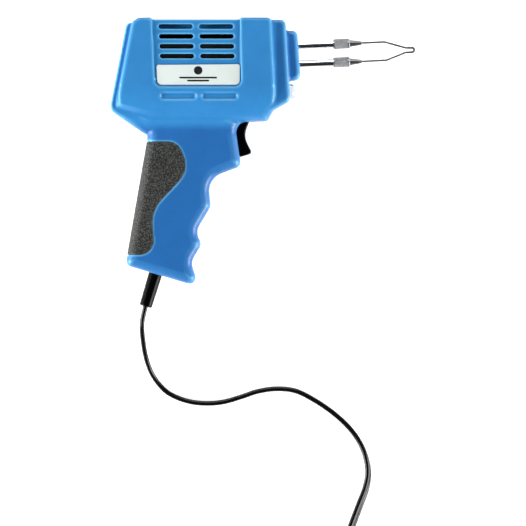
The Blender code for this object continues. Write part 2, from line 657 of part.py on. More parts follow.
def lamp():
    along = (1.0, 0.0, 0.0)
    centre = (0.0, LAMP_Y, PARTING)
    dome = [(21.7 - LAMP_RADIUS + LAMP_RADIUS * math.sin(angle), LAMP_RADIUS * math.cos(angle))
            for angle in np.linspace(0.0, math.pi / 2, 7)]
    dome[-1] = (dome[-1][0], 0.0)
    profile = [(11.3, 0.0), (11.3, 3.4), (12.6, LAMP_RADIUS - 0.1)] + dome
    publish("lamp_bulb", turned("bulb", profile, centre, along), clearGlass)
    profile = [(2.6, 0.0), (2.6, 2.0), (3.6, 4.2), (11.0, 4.2), (11.0, 0.0)]
    publish("lamp_base", turned("base", profile, centre, along), brass)
    profile = [(5.0, 4.5), (10.0, 4.5), (10.0, 6.0), (5.0, 6.0)]
    publish("lamp_holder", turned("holder", profile, centre, along), bobbinPlastic)


# ---- trigger and switch

def triggerAndSwitch():
    x, y = TRIGGER_PIVOT
    trigger = plate("trigger_form", TRIGGER_CORNERS, *mirroredPair(TRIGGER_HALF), 1.2)
    hole = rod("hole", (x, y, 0.0), (x, y, 60.0), PIN_RADIUS + GAP)
    combine(trigger, [hole], "DIFFERENCE")
    publish("trigger", trigger, blackPlastic, pivot=(x, y, PARTING))
    pin = rod("pin", (x, y, PARTING - PIN_HALF_LENGTH), (x, y, PARTING + PIN_HALF_LENGTH), PIN_RADIUS,
              sides=12)
    publish("trigger_pin", pin, screwSteel)

    body = block("switch", SWITCH_LOW, SWITCH_HIGH)
    bore = rod("switch_bore", (PLUNGER_BACK - 3.4, PLUNGER_Y, PARTING), (-30.0, PLUNGER_Y, PARTING), 2.3)
    publish("switch_body", combine(body, [bore], "DIFFERENCE"), blackPlastic, smooth=False)
    stem = rod("stem", (PLUNGER_BACK, PLUNGER_Y, PARTING), (PLUNGER_FRONT - 0.5, PLUNGER_Y, PARTING),
               PLUNGER_STEM_RADIUS)
    head = rod("head", (PLUNGER_HEAD, PLUNGER_Y, PARTING), (PLUNGER_FRONT, PLUNGER_Y, PARTING),
               PLUNGER_HEAD_RADIUS)
    plunger = combine(stem, [head], "UNION")
    publish("switch_plunger", plunger, bobbinPlastic, pivot=(PLUNGER_FRONT, PLUNGER_Y, PARTING))

    start = SWITCH_HIGH[0] + GAP + SPRING_WIRE
    end = PLUNGER_HEAD - GAP - SPRING_WIRE
    wholeTurn = 2 * math.pi * SPRING_TURNS
    route = []
    for angle in np.linspace(0.0, wholeTurn, 43):
        route.append((start + (end - start) * angle / wholeTurn,
                      PLUNGER_Y + SPRING_RADIUS * math.cos(angle),
                      PARTING + SPRING_RADIUS * math.sin(angle)))
    publish("switch_spring", tube("spring", route, SPRING_WIRE, 2), screwSteel)


# ---- mains lead

def smoothRoute(points, spacing):
    """Even steps along a Catmull-Rom curve through the points."""
    anchors = np.array(points)
    first = 2 * anchors[0] - anchors[1]
    last = 2 * anchors[-1] - anchors[-2]
    anchors = np.vstack([first, anchors, last])
    dense = []
    for a, b, c, d in zip(anchors, anchors[1:], anchors[2:], anchors[3:]):
        for t in np.linspace(0.0, 1.0, 12, endpoint=False):
            dense.append(0.5 * (2 * b + (c - a) * t + (2 * a - 5 * b + 4 * c - d) * t ** 2
                                + (3 * b - a - 3 * c + d) * t ** 3))
    dense.append(anchors[-2])
    dense = np.array(dense)
    along = np.append(0.0, np.cumsum(np.linalg.norm(np.diff(dense, axis=0), axis=1)))
    wanted = np.linspace(0.0, along[-1], int(along[-1] / spacing) + 1)
    return np.stack([np.interp(wanted, along, dense[:, k]) for k in range(3)], axis=1)


def mainsLead():
    outwards = (-math.sin(BOOT_ANGLE), -math.cos(BOOT_ANGLE), 0.0)
    profile = [(-6.4, 0.0), (-6.4, BOOT_FLANGE_RADIUS), (-4.6, BOOT_FLANGE_RADIUS), (-4.6, BOOT_RADIUS),
               (BOOT_LENGTH, BOOT_END_RADIUS), (BOOT_LENGTH, 0.0)]
    publish("strain_relief", turned("boot", profile, bootPoint(0.0), outwards, 20), blackPlastic)

    route = smoothRoute(CORD_ROUTE, 2.0 * CORD_DIAMETER)
    publish("mains_cord", tube("cord", route, CORD_RADIUS, 2), cordRubber)

    x, y = COIL_CENTRE
    low, high = FLOOR_GAP, FLOOR_GAP + COIL_HEIGHT
    profile = [(low, COIL_INSIDE + COIL_RIM), (low, COIL_OUTSIDE - COIL_RIM), (low + COIL_RIM, COIL_OUTSIDE),
               (high - COIL_RIM, COIL_OUTSIDE), (high, COIL_OUTSIDE - COIL_RIM),
               (high, COIL_INSIDE + COIL_RIM), (high - COIL_RIM, COIL_INSIDE), (low + COIL_RIM, COIL_INSIDE)]
    publish("cord_coil", turned("coil", profile, (x, y, 0.0), (0.0, 0.0, 1.0), 40), cordRubber)

    tailY = y - COIL_OUTSIDE + CORD_RADIUS
    plugZ = PLUG_HALF_THICK + FLOOR_GAP
    tail = [(TAIL_START, tailY, high - CORD_RADIUS), (-30.0, tailY, high - CORD_RADIUS - 0.5),
            (-38.0, tailY, plugZ + 0.1), (PLUG_BACK + GAP, tailY, plugZ)]
    publish("cord_tail", tube("tail", tail, CORD_RADIUS, 2), cordRubber)

    back, front = PLUG_BACK, PLUG_BACK - PLUG_LENGTH
    shoulder = back - 17.0
    outline = [(back - 0.5, 4.0, 2.6), (back - 9.0, 5.2, 3.0), (shoulder, PLUG_HALF_WIDE, 5.0),
               (front, PLUG_HALF_WIDE, 3.0)]
    corners = [(x, tailY + half, radius) for x, half, radius in outline]
    corners += [(x, tailY - half, radius) for x, half, radius in reversed(outline)]
    body = plate("plug_form", corners, FLOOR_GAP, FLOOR_GAP + 2 * PLUG_HALF_THICK, 2.4)
    for side in (-1.0, 1.0):
        pinY = tailY + side * PIN_SPACING / 2
        socket = rod("pin_socket", (front + 6.0, pinY, plugZ), (front - 2.0, pinY, plugZ), PIN_THICK + GAP)
        combine(body, [socket], "DIFFERENCE")
        name = "plug_pin_left" if side < 0 else "plug_pin_right"
        profile = [(-5.5, 0.0), (-5.5, PIN_THICK), (PIN_LENGTH - 0.8, PIN_THICK),
                   (PIN_LENGTH, PIN_THICK - 0.8), (PIN_LENGTH, 0.0)]
        publish(name, turned("pin", profile, (front, pinY, plugZ), (-1.0, 0.0, 0.0), 12), chromePlate)
    publish("plug_body", body, blackPlastic)


def innerWiring():
    start, end = bootPoint(-6.8), bootPoint(-27.0)
    publish("cord_inner_end", tube("inner", [start, end], CORD_RADIUS, 2), cordRubber)
    clampX, clampY, clampZ = bootPoint(-18.0)
    across = (math.cos(BOOT_ANGLE), -math.sin(BOOT_ANGLE))
    bar = block("bar", (-9.0, -3.0, CORD_RADIUS + GAP), (9.0, 3.0, CORD_RADIUS + GAP + 2.5))
    bar.data.transform(Matrix.Translation(Vector((clampX, clampY, clampZ)) * MM)
                       @ Matrix.Rotation(-BOOT_ANGLE, 4, "Z"))
    for number, side in enumerate((-6.2, 6.2), 1):
        x, y = clampX + side * across[0], clampY + side * across[1]
        hole = rod("clamp_hole", (x, y, PARTING), (x, y, PARTING + 8.0), 1.4)
        combine(bar, [hole], "DIFFERENCE")
        screw = rod("clamp_screw", (x, y, PARTING - 8.0), (x, y, PARTING + 6.2), 1.1, sides=12)
        head = rod("clamp_head", (x, y, PARTING + 5.7), (x, y, PARTING + 7.4), 2.2)
        publish(f"cord_clamp_screw_{number}", combine(screw, [head], "UNION"), screwSteel)
    publish("cord_clamp", bar, bobbinPlastic, smooth=False)

    end = bootPoint(-27.6)
    bobbinFoot = CORE_Y[0] - 7.5 - GAP
    liveLead = [(end[0] - 1.2, end[1], 30.0), (-57.0, -38.0, 29.0), (-49.0, -20.0, 28.0),
                (-44.0, SWITCH_LOW[1] - GAP, 28.0)]
    returnLead = [(end[0] - 1.2, end[1], 33.0), (-60.0, -30.0, 34.5), (-56.0, 0.0, 40.5),
                  (-58.0, 20.0, 42.3), (-62.0, bobbinFoot, 42.3)]
    switchedLead = [(-44.0, SWITCH_HIGH[1] + GAP, 26.0), (-46.0, 22.0, 22.0), (-52.0, 33.0, 17.6),
                    (-55.0, bobbinFoot, 17.6)]
    leads = {"live_lead": liveLead, "return_lead": returnLead, "switched_lead": switchedLead}
    for name, route in leads.items():
        publish(name, tube(name + "_run", smoothRoute(route, 4.0), 0.9, 2), cordRubber)


housing()
labels()
housingScrews()
transformer()
tipEnd()
lamp()
triggerAndSwitch()
mainsLead()
innerWiring()
for cutter in list(cutters.objects):
    bpy.data.objects.remove(cutter, do_unlink=True)
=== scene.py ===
import json
import math

import bpy
import numpy as np
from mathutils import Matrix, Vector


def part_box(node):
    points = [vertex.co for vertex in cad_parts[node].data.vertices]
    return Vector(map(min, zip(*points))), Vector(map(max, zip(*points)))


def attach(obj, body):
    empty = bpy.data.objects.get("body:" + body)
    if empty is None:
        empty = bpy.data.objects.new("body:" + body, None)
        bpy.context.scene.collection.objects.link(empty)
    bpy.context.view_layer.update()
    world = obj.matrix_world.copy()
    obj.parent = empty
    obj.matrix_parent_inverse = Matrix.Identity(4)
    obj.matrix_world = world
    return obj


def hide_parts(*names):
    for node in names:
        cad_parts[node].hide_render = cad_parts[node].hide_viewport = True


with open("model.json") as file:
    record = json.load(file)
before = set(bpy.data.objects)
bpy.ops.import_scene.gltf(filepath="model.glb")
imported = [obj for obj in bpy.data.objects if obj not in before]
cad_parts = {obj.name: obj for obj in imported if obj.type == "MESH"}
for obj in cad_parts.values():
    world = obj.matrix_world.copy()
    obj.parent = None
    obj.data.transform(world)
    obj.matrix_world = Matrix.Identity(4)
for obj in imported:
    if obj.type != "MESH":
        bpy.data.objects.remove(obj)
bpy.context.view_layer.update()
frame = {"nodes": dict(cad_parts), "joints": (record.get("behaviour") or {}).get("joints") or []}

mm = 0.001                       # lengths below are millimetres, the scene's are metres


def boxOf(node):
    low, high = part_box(node)
    return np.array(low) / mm, np.array(high) / mm


seamLow, seamHigh = boxOf("housing_left")[1][2], boxOf("housing_right")[0][2]
parting = (seamLow + seamHigh) / 2
bodyHalf = boxOf("housing_right")[1][2] - parting
print("frame loaded, parting plane at", round(parting, 2), "mm")


# ---- node helpers

def addNode(tree, kind, **values):
    node = tree.nodes.new(kind)
    for key, value in values.items():
        if hasattr(node, key):
            setattr(node, key, value)
        else:
            node.inputs[key.replace("_", " ")].default_value = value
    return node


def noiseOf(tree, source, scale, detail=3.0):
    noise = addNode(tree, "ShaderNodeTexNoise", Scale=scale, Detail=detail, Roughness=0.6)
    tree.links.new(source, noise.inputs["Vector"])
    return noise.outputs["Fac"]


def remap(tree, source, low, high, outLow, outHigh):
    change = addNode(tree, "ShaderNodeMapRange")
    tree.links.new(source, change.inputs["Value"])
    for key, value in {"From Min": low, "From Max": high, "To Min": outLow, "To Max": outHigh}.items():
        change.inputs[key].default_value = value
    return change.outputs["Result"]


def mixColours(tree, amount, first, second, blend="MIX"):
    mix = addNode(tree, "ShaderNodeMix", data_type="RGBA", blend_type=blend)
    tree.links.new(amount, mix.inputs["Factor"])
    for place, value in ((6, first), (7, second)):
        if isinstance(value, tuple):
            mix.inputs[place].default_value = (*value, 1.0)
        else:
            tree.links.new(value, mix.inputs[place])
    return mix.outputs[2]


def merged(tree, operation, first, second):
    joint = addNode(tree, "ShaderNodeMath", operation=operation)
    tree.links.new(first, joint.inputs[0])
    tree.links.new(second, joint.inputs[1])
    return joint.outputs[0]


# ---- camera, light and table

view = {"middle": (-0.1, -70.9), "wide": 334.0, "distance": 9000.0, "sensor": 36.0, "far": 100000.0}
tableLook = {"half": 2600.0, "colour": (0.82, 0.82, 0.82), "rough": 0.7, "glow": 0.5}
# name, place in mm, size in mm, power in watts
softBoxes = [("left", (-1000.0, -320.0, 310.0), (900.0, 560.0), 34.0),
             ("right", (1000.0, -370.0, 310.0), (900.0, 560.0), 30.0),
             ("back", (-60.0, 620.0, 560.0), (600.0, 300.0), 5.6)]
sky = {"above": 0.08, "level": 0.75, "top": 0.5, "front": 0.12, "back": 1.3, "turn": (-0.35, 0.25)}


def addCamera():
    data = bpy.data.cameras.new("camera")
    data.sensor_width = view["sensor"]
    data.lens = view["sensor"] * view["distance"] / view["wide"]
    data.clip_end = view["far"] * mm
    camera = bpy.data.objects.new("camera", data)
    camera.location = (view["middle"][0] * mm, view["middle"][1] * mm, (parting + view["distance"]) * mm)
    bpy.context.scene.collection.objects.link(camera)
    bpy.context.scene.camera = camera


def addLights():
    for name, place, size, power in softBoxes:
        data = bpy.data.lights.new(name, "AREA")
        data.shape = "RECTANGLE"
        data.size = size[0] * mm
        data.size_y = size[1] * mm
        data.energy = power
        light = bpy.data.objects.new(name, data)
        light.location = [value * mm for value in place]
        aim = -light.location
        light.rotation_euler = aim.to_track_quat("-Z", "Y").to_euler()
        bpy.context.scene.collection.objects.link(light)
    world = bpy.data.worlds.new("studio")
    world.use_nodes = True
    # the room is dark overhead and light at table height, most of all behind the gun's top
    tree = world.node_tree
    height = addNode(tree, "ShaderNodeSeparateXYZ")
    tree.links.new(addNode(tree, "ShaderNodeTexCoord").outputs["Generated"], height.inputs[0])
    rise = remap(tree, height.outputs["Z"], 0.0, sky["top"], sky["level"], sky["above"])
    depth = remap(tree, height.outputs["Y"], *sky["turn"], sky["front"], sky["back"])
    tree.links.new(merged(tree, "MULTIPLY", rise, depth), tree.nodes["Background"].inputs["Strength"])
    tree.nodes["Background"].inputs["Color"].default_value = (1.0, 1.0, 1.0, 1.0)
    bpy.context.scene.world = world
    bpy.context.scene.view_settings.view_transform = "Standard"


addCamera()
addLights()


# ---- materials

# A material is mottled by two noises, grained by a bump, speckled, and lightened where edges stick out,
# which on the blue shell is a painted highlight along its fillets.
# Scales are in cycles a metre. Grain is the bump's height in metres.
# A material with painted shade is darker below, ahead of and behind the places given, in metres.
plain = {"rough": 0.3, "metallic": 0.0, "mottle": 0.12, "mottleScale": 60.0, "roughVary": 0.08,
         "grain": 0.00002, "grainScale": 2600.0, "wearAndHighlightColour": None, "wearAndHighlightFrom": (0.51, 0.6),
         "specular": 0.5, "speckle": 0.0, "paintedShadeColour": None, "transmission": 0.0,
         "stretch": (1.0, 1.0, 1.0)}
noiseSpread = (0.3, 0.7)
finishes = {
    "blueShell": {"colour": (0.022, 0.145, 0.345), "mottle": 0.05, "grain": 0.000006,
                  # painted highlight: the blue shell's pointy edges are lightened towards a pale cyan
                  "wearAndHighlight": 0.75, "wearAndHighlightColour": (0.12, 0.4, 0.6), "wearAndHighlightFrom": (0.504, 0.55),
                  # painted shade: the blue shell is darkened on the grip below, on the nose and step ahead,
                  # and on the spine strip behind the slanted back
                  "specular": 0.2, "paintedShadeColour": (0.6, 0.62, 0.78), "shadeBelow": (0.0135, 0.018, 1.0, 0.0),
                  "shadeAhead": (0.0078, 0.0092, 0.0, 0.75), "backSlant": (1.0, -0.195, 0.0),
                  "shadeBehind": (-0.0996, -0.0989, 0.9, 0.0), "slot": "blue_shell"},
    "softPad": {"colour": (0.003, 0.0033, 0.003), "rough": 0.5, "mottle": 0.3, "speckle": 0.9,
                "speckleFrom": (0.46, 0.64), "speckleScale": 1300.0, "grain": 0.0004, "grainScale": 1200.0,
                "wearAndHighlight": 0.2, "wearAndHighlightColour": (0.062, 0.065, 0.061), "specular": 0.22, "slot": "soft_pad"},
    "blackPlastic": {"colour": (0.0008, 0.0008, 0.001), "rough": 0.22, "roughVary": 0.05, "wearAndHighlight": 0.1,
                     "wearAndHighlightColour": (0.02, 0.02, 0.023), "specular": 0.07, "slot": "black_plastic"},
    "label": {"colour": (0.45, 0.5, 0.485), "rough": 0.42, "mottle": 0.03, "grain": 0.000003,
              "slot": "white_label"},
    "ink": {"colour": (0.008, 0.008, 0.009), "rough": 0.4, "mottle": 0.1, "specular": 0.2,
            "slot": "white_label"},
    "steel": {"colour": (0.42, 0.43, 0.44), "rough": 0.33, "metallic": 1.0, "mottle": 0.2,
              "slot": "screw_steel"},
    "coreSteel": {"colour": (0.008, 0.008, 0.009), "rough": 0.7, "specular": 0.15, "mottle": 0.4,
                  "stretch": (1.0, 40.0, 1.0), "slot": "core_steel"},
    "copper": {"colour": (0.62, 0.26, 0.13), "rough": 0.34, "metallic": 1.0, "mottle": 0.3,
               "stretch": (1.0, 1.0, 30.0), "slot": "copper"},
    "bobbin": {"colour": (0.62, 0.58, 0.47), "rough": 0.5, "slot": "bobbin_plastic"},
    # painted shade: a near-black copy of the bobbin plastic, for the bobbin and the card seen in shade
    # through the vents
    "shadedBobbin": {"colour": (0.006, 0.006, 0.006), "rough": 0.6, "specular": 0.15,
                   "slot": "bobbin_plastic"},
    "knurledSteel": {"colour": (0.22, 0.225, 0.225), "metallic": 1.0, "mottle": 0.2,
                     "mottleScale": 300.0, "wearAndHighlight": 0.5, "wearAndHighlightColour": (0.5, 0.51, 0.52),
                     "slot": "chrome_plate"},
    "chrome": {"colour": (0.7, 0.71, 0.72), "rough": 0.2, "metallic": 1.0, "mottle": 0.08,
               "grain": 0.000002, "slot": "chrome_plate"},
    "phenolic": {"colour": (0.2, 0.09, 0.04), "rough": 0.55, "mottle": 0.4, "slot": "phenolic"},
    "tipMetal": {"colour": (0.085, 0.08, 0.076), "rough": 0.36, "metallic": 1.0, "mottle": 0.5,
                 "mottleScale": 400.0, "slot": "tip_wire_metal"},
    "glass": {"colour": (0.84, 0.87, 0.88), "rough": 0.04, "transmission": 1.0, "mottle": 0.02,
              "grain": 0.0, "slot": "clear_glass"},
    "brass": {"colour": (0.72, 0.55, 0.26), "metallic": 1.0, "mottle": 0.2, "slot": "brass"},
    "cordRubber": {"colour": (0.001, 0.001, 0.0012), "rough": 0.22, "roughVary": 0.05, "mottle": 0.25,
                   "wearAndHighlight": 0.1, "wearAndHighlightColour": (0.02, 0.02, 0.022), "grain": 0.000008, "specular": 0.25,
                   "slot": "cord_rubber"},
}


def scaled(colour, factor):
    return tuple(min(channel * factor, 1.0) for channel in colour)


def fadeAmount(tree, place, look):
    # painted shade: the largest of three ramps, along y, along x and square to the slanted back
    spot = addNode(tree, "ShaderNodeSeparateXYZ")
    tree.links.new(place, spot.inputs[0])
    slant = addNode(tree, "ShaderNodeVectorMath", operation="DOT_PRODUCT")
    tree.links.new(place, slant.inputs[0])
    slant.inputs[1].default_value = look["backSlant"]
    below = remap(tree, spot.outputs["Y"], *look["shadeBelow"])
    ahead = remap(tree, spot.outputs["X"], *look["shadeAhead"])
    behind = remap(tree, slant.outputs["Value"], *look["shadeBehind"])
    return merged(tree, "MAXIMUM", merged(tree, "MAXIMUM", below, ahead), behind)


def makeFinish(name):
    look = {**plain, **finishes[name]}
    made = bpy.data.materials.new(name)
    made.use_nodes = True
    tree = made.node_tree
    shader = tree.nodes["Principled BSDF"]
    place = addNode(tree, "ShaderNodeTexCoord").outputs["Object"]
    stretch = addNode(tree, "ShaderNodeMapping")
    stretch.inputs["Scale"].default_value = look["stretch"]
    tree.links.new(place, stretch.inputs["Vector"])
    place = stretch.outputs["Vector"]
    broad = noiseOf(tree, place, look["mottleScale"])
    fine = noiseOf(tree, place, look["grainScale"], 4.0)
    amount = remap(tree, broad, *noiseSpread, 0.0, 1.0)
    colour = mixColours(tree, amount, scaled(look["colour"], 1.0 - look["mottle"]),
                        scaled(look["colour"], 1.0 + look["mottle"]))
    if look["speckle"] > 0.0:
        dots = noiseOf(tree, place, look["speckleScale"], 2.0)
        amount = remap(tree, dots, *look["speckleFrom"], 0.0, look["speckle"])
        colour = mixColours(tree, amount, colour, look["wearAndHighlightColour"])
    # painted shade: the colour is multiplied towards the shade colour below, ahead and behind the given
    # places
    if look["paintedShadeColour"]:
        colour = mixColours(tree, fadeAmount(tree, place, look), colour, look["paintedShadeColour"], "MULTIPLY")
    # edges that stick out, found by pointiness, are lightened: on the blue shell this is a painted
    # highlight
    if look["wearAndHighlightColour"]:
        edges = addNode(tree, "ShaderNodeNewGeometry").outputs["Pointiness"]
        amount = remap(tree, edges, *look["wearAndHighlightFrom"], 0.0, look["wearAndHighlight"])
        colour = mixColours(tree, amount, colour, look["wearAndHighlightColour"])
    tree.links.new(colour, shader.inputs["Base Color"])
    rough = remap(tree, fine, *noiseSpread, max(look["rough"] - look["roughVary"], 0.02),
                  look["rough"] + look["roughVary"])
    tree.links.new(rough, shader.inputs["Roughness"])
    if look["grain"] > 0.0:
        bump = addNode(tree, "ShaderNodeBump")
        bump.inputs["Distance"].default_value = look["grain"]
        bump.inputs["Strength"].default_value = 1.0
        tree.links.new(fine, bump.inputs["Height"])
        tree.links.new(bump.outputs["Normal"], shader.inputs["Normal"])
    shader.inputs["Metallic"].default_value = look["metallic"]
    shader.inputs["Specular IOR Level"].default_value = look["specular"]
    shader.inputs["Transmission Weight"].default_value = look["transmission"]
    return made


materials = {name: makeFinish(name) for name in finishes}
print("materials made:", len(materials))


# ---- meshes

def addPiece(name, points, faces, finish, body, sharp=35.0):
    # points in millimetres, faces in arrays of corners, each array's faces alike in size
    mesh = bpy.data.meshes.new(name)
    counts = np.concatenate([np.full(len(part), part.shape[1], np.int32) for part in faces])
    corners = np.concatenate([part.ravel() for part in faces]).astype(np.int32)
    mesh.vertices.add(len(points))
    mesh.vertices.foreach_set("co", (np.asarray(points, np.float32) * mm).ravel())
    mesh.loops.add(len(corners))
    mesh.loops.foreach_set("vertex_index", corners)
    mesh.polygons.add(len(counts))
    mesh.polygons.foreach_set("loop_start", (np.cumsum(counts) - counts).astype(np.int32))
    mesh.update(calc_edges=True)
    mesh.validate()
    mesh.shade_smooth()
    mesh.set_sharp_from_angle(angle=math.radians(sharp))
    mesh.materials.append(materials[finish])
    piece = bpy.data.objects.new(name, mesh)
    bpy.context.scene.collection.objects.link(piece)
    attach(piece, body)
    return piece


def ringQuads(rows, count, closed=False):
    # quads between rows of points, each row a ring; closed, the last row meets the first
    row, column = np.meshgrid(np.arange(rows if closed else rows - 1), np.arange(count), indexing="ij")
    after, below = (column + 1) % count, (row + 1) % rows
    return np.stack([row * count + column, row * count + after, below * count + after,
                     below * count + column], axis=-1).reshape(-1, 4)


def loopSurface(rings):
    return rings.reshape(-1, 3), [ringQuads(*rings.shape[:2], closed=True)]


def ringSurface(rings):
    # a fan of triangles closes each end
    rows, count = rings.shape[:2]
    middles = np.stack([rings[0].mean(axis=0), rings[-1].mean(axis=0)])
    points = np.vstack([rings.reshape(-1, 3), middles])
    here = np.arange(count)
    following = (here + 1) % count
    start = np.stack([np.full(count, rows * count), following, here], axis=-1)
    last = (rows - 1) * count
    end = np.stack([np.full(count, rows * count + 1), last + here, last + following], axis=-1)
    return points, [ringQuads(rows, count), start, end]


def joined(surfaces):
    # several closed surfaces as one set of points and faces
    points, faces, first = [], [], 0
    for surfacePoints, surfaceFaces in surfaces:
        points.append(surfacePoints)
        faces += [part + first for part in surfaceFaces]
        first += len(surfacePoints)
    return np.vstack(points), faces


def circle(count):
    return np.linspace(0.0, 2 * np.pi, count, endpoint=False)


def clipped(value):
    return np.clip(value, 0.0, 1.0)


def turnedRings(profile, start, direction, sides=64, ripple=None):
    # rows along an axis: each point of the profile is a distance along it and a radius
    axis = np.array(direction) / np.linalg.norm(direction)
    across = np.cross(axis, (0.0, 0.0, 1.0) if abs(axis[2]) < 0.9 else (0.0, 1.0, 0.0))
    across /= np.linalg.norm(across)
    other = np.cross(axis, across)
    angle = circle(sides)
    profile = np.array(profile, float)
    along = profile[:, 0, None]
    radius = profile[:, 1, None] + (ripple(along, angle) if ripple else 0.0 * angle)
    ring = np.cos(angle)[None, :, None] * across + np.sin(angle)[None, :, None] * other
    return np.array(start) + along[..., None] * axis + radius[..., None] * ring


def sweptRings(path, section, twist=None):
    # a section carried along a path: its first axis lies level, its second stands up from it
    tangent = np.gradient(path, axis=0)
    tangent /= np.linalg.norm(tangent, axis=1)[:, None]
    side = np.cross(tangent, (0.0, 0.0, 1.0))
    side /= np.linalg.norm(side, axis=1)[:, None]
    up = np.cross(side, tangent)
    if twist is not None:
        turned = np.cos(twist)[:, None] * side + np.sin(twist)[:, None] * up
        up = np.cos(twist)[:, None] * up - np.sin(twist)[:, None] * side
        side = turned
    section = np.broadcast_to(section, (len(path), *section.shape[-2:]))
    return path[:, None, :] + section[..., 0:1] * side[:, None, :] - section[..., 1:2] * up[:, None, :]


def evenPoints(path, spacing, rounding=0.5):
    along = np.append(0.0, np.cumsum(np.linalg.norm(np.diff(path, axis=0), axis=1)))
    wanted = np.linspace(0.0, along[-1], int(along[-1] / spacing + rounding) + 1)
    return np.stack([np.interp(wanted, along, values) for values in path.T], axis=1)


def roundedPath(corners, spacing, closed=False):
    # straight runs joined by arcs; corners are x, y and radius. Gives the bare points and an even set
    count = len(corners)
    spots = np.array([corner[:2] for corner in corners])
    points = []
    for i, (x, y, radius) in enumerate(corners):
        if radius <= 0.0 or (not closed and i in (0, count - 1)):
            points.append([(x, y)])
            continue
        before = spots[i] - spots[i - 1]
        after = spots[(i + 1) % count] - spots[i]
        before, after = before / np.linalg.norm(before), after / np.linalg.norm(after)
        turn = math.atan2(before[0] * after[1] - before[1] * after[0], before @ after)
        reach = radius * math.tan(abs(turn) / 2)
        normal = np.array([-before[1], before[0]]) * np.sign(turn)
        centre = spots[i] - before * reach + normal * radius
        swing = np.linspace(0.0, turn, 17)
        first = -normal * radius
        points.append(centre + np.stack([first[0] * np.cos(swing) - first[1] * np.sin(swing),
                                         first[0] * np.sin(swing) + first[1] * np.cos(swing)], axis=1))
    dense = np.vstack(points + ([points[0][:1]] if closed else []))
    return dense, evenPoints(dense, spacing)


# ---- solids from a distance field
# A field holds, at each knot of a grid, the distance to the surface, less than nothing inside.

def segmentDistance(x, y, outline):
    # signed distance in the plane to a closed outline: the nearest segment, negative inside
    best = np.full(x.shape, np.inf)
    inside = np.zeros(x.shape, bool)
    for (ax, ay), (bx, by) in zip(outline, np.roll(outline, -1, axis=0)):
        dx, dy = bx - ax, by - ay
        span = dx * dx + dy * dy
        if span < 1e-12:
            continue
        t = clipped(((x - ax) * dx + (y - ay) * dy) / span)
        best = np.minimum(best, (x - ax - t * dx) ** 2 + (y - ay - t * dy) ** 2)
        crosses = (ay > y) != (by > y)
        if dy != 0.0:
            inside ^= crosses & (x < ax + (y - ay) * dx / dy)
    distance = np.sqrt(best)
    return np.where(inside, -distance, distance)


def softMin(a, b, blend):
    near = np.maximum(blend - np.abs(a - b), 0.0) / blend
    return np.minimum(a, b) - near * near * blend / 4


def softMax(a, b, blend):
    return -softMin(-a, -b, blend)


def slab(flat, height, half, edge):
    # a flat outline given thickness, its rims rounded
    a = flat + edge
    b = height - half + edge
    return np.minimum(np.maximum(a, b), 0.0) + np.hypot(np.maximum(a, 0.0), np.maximum(b, 0.0)) - edge


def surfaceFrom(field, xs, ys, zs):
    # a point in each crossed cell, amid its edges' crossings, and a quad across each crossed edge
    inside = field < 0.0
    shape = np.array(field.shape)
    total = np.zeros(shape - 1, np.int8)
    offsets = [(i, j, k) for i in (0, 1) for j in (0, 1) for k in (0, 1)]
    for i, j, k in offsets:
        total += inside[i:shape[0] - 1 + i, j:shape[1] - 1 + j, k:shape[2] - 1 + k]
    cells = np.argwhere((total > 0) & (total < 8))
    number = np.full(shape - 1, -1, np.int32)
    number[tuple(cells.T)] = np.arange(len(cells))
    axes = (xs, ys, zs)
    sums = np.zeros((len(cells), 3))
    hits = np.zeros(len(cells))
    for axis in range(3):
        for corner in offsets:
            if corner[axis]:
                continue
            a = cells + corner
            b = a.copy()
            b[:, axis] += 1
            fa, fb = field[tuple(a.T)], field[tuple(b.T)]
            crossed = (fa < 0.0) != (fb < 0.0)
            share = np.where(crossed, fa / np.where(crossed, fa - fb, 1.0), 0.0)
            for k in range(3):
                pa, pb = axes[k][a[:, k]], axes[k][b[:, k]]
                sums[:, k] += np.where(crossed, pa + (pb - pa) * share, 0.0)
            hits += crossed
    points = sums / hits[:, None]
    faces = []
    for axis in range(3):
        u, v = (axis + 1) % 3, (axis + 2) % 3
        low = [slice(1, -1)] * 3
        high = [slice(1, -1)] * 3
        low[axis], high[axis] = slice(0, -1), slice(1, None)
        first, second = inside[tuple(low)], inside[tuple(high)]
        edges = np.argwhere(first != second)
        outward = first[tuple(edges.T)]
        edges[:, u] += 1
        edges[:, v] += 1
        ring = []
        for du, dv in ((-1, -1), (0, -1), (0, 0), (-1, 0)):
            cell = edges.copy()
            cell[:, u] += du
            cell[:, v] += dv
            ring.append(number[tuple(cell.T)])
        quads = np.stack(ring, axis=1)
        faces.append(np.where(outward[:, None], quads, quads[:, ::-1]))
    return points, [np.vstack(faces)]


def graded(stops):
    # grid knots between stops, each stop a place and the spacing up to it
    knots = [np.array([stops[0][0]])]
    for (start, _), (end, step) in zip(stops, stops[1:]):
        count = max(1, int(round((end - start) / step)))
        knots.append(np.linspace(start, end, count + 1)[1:])
    return np.concatenate(knots)


# ---- housing

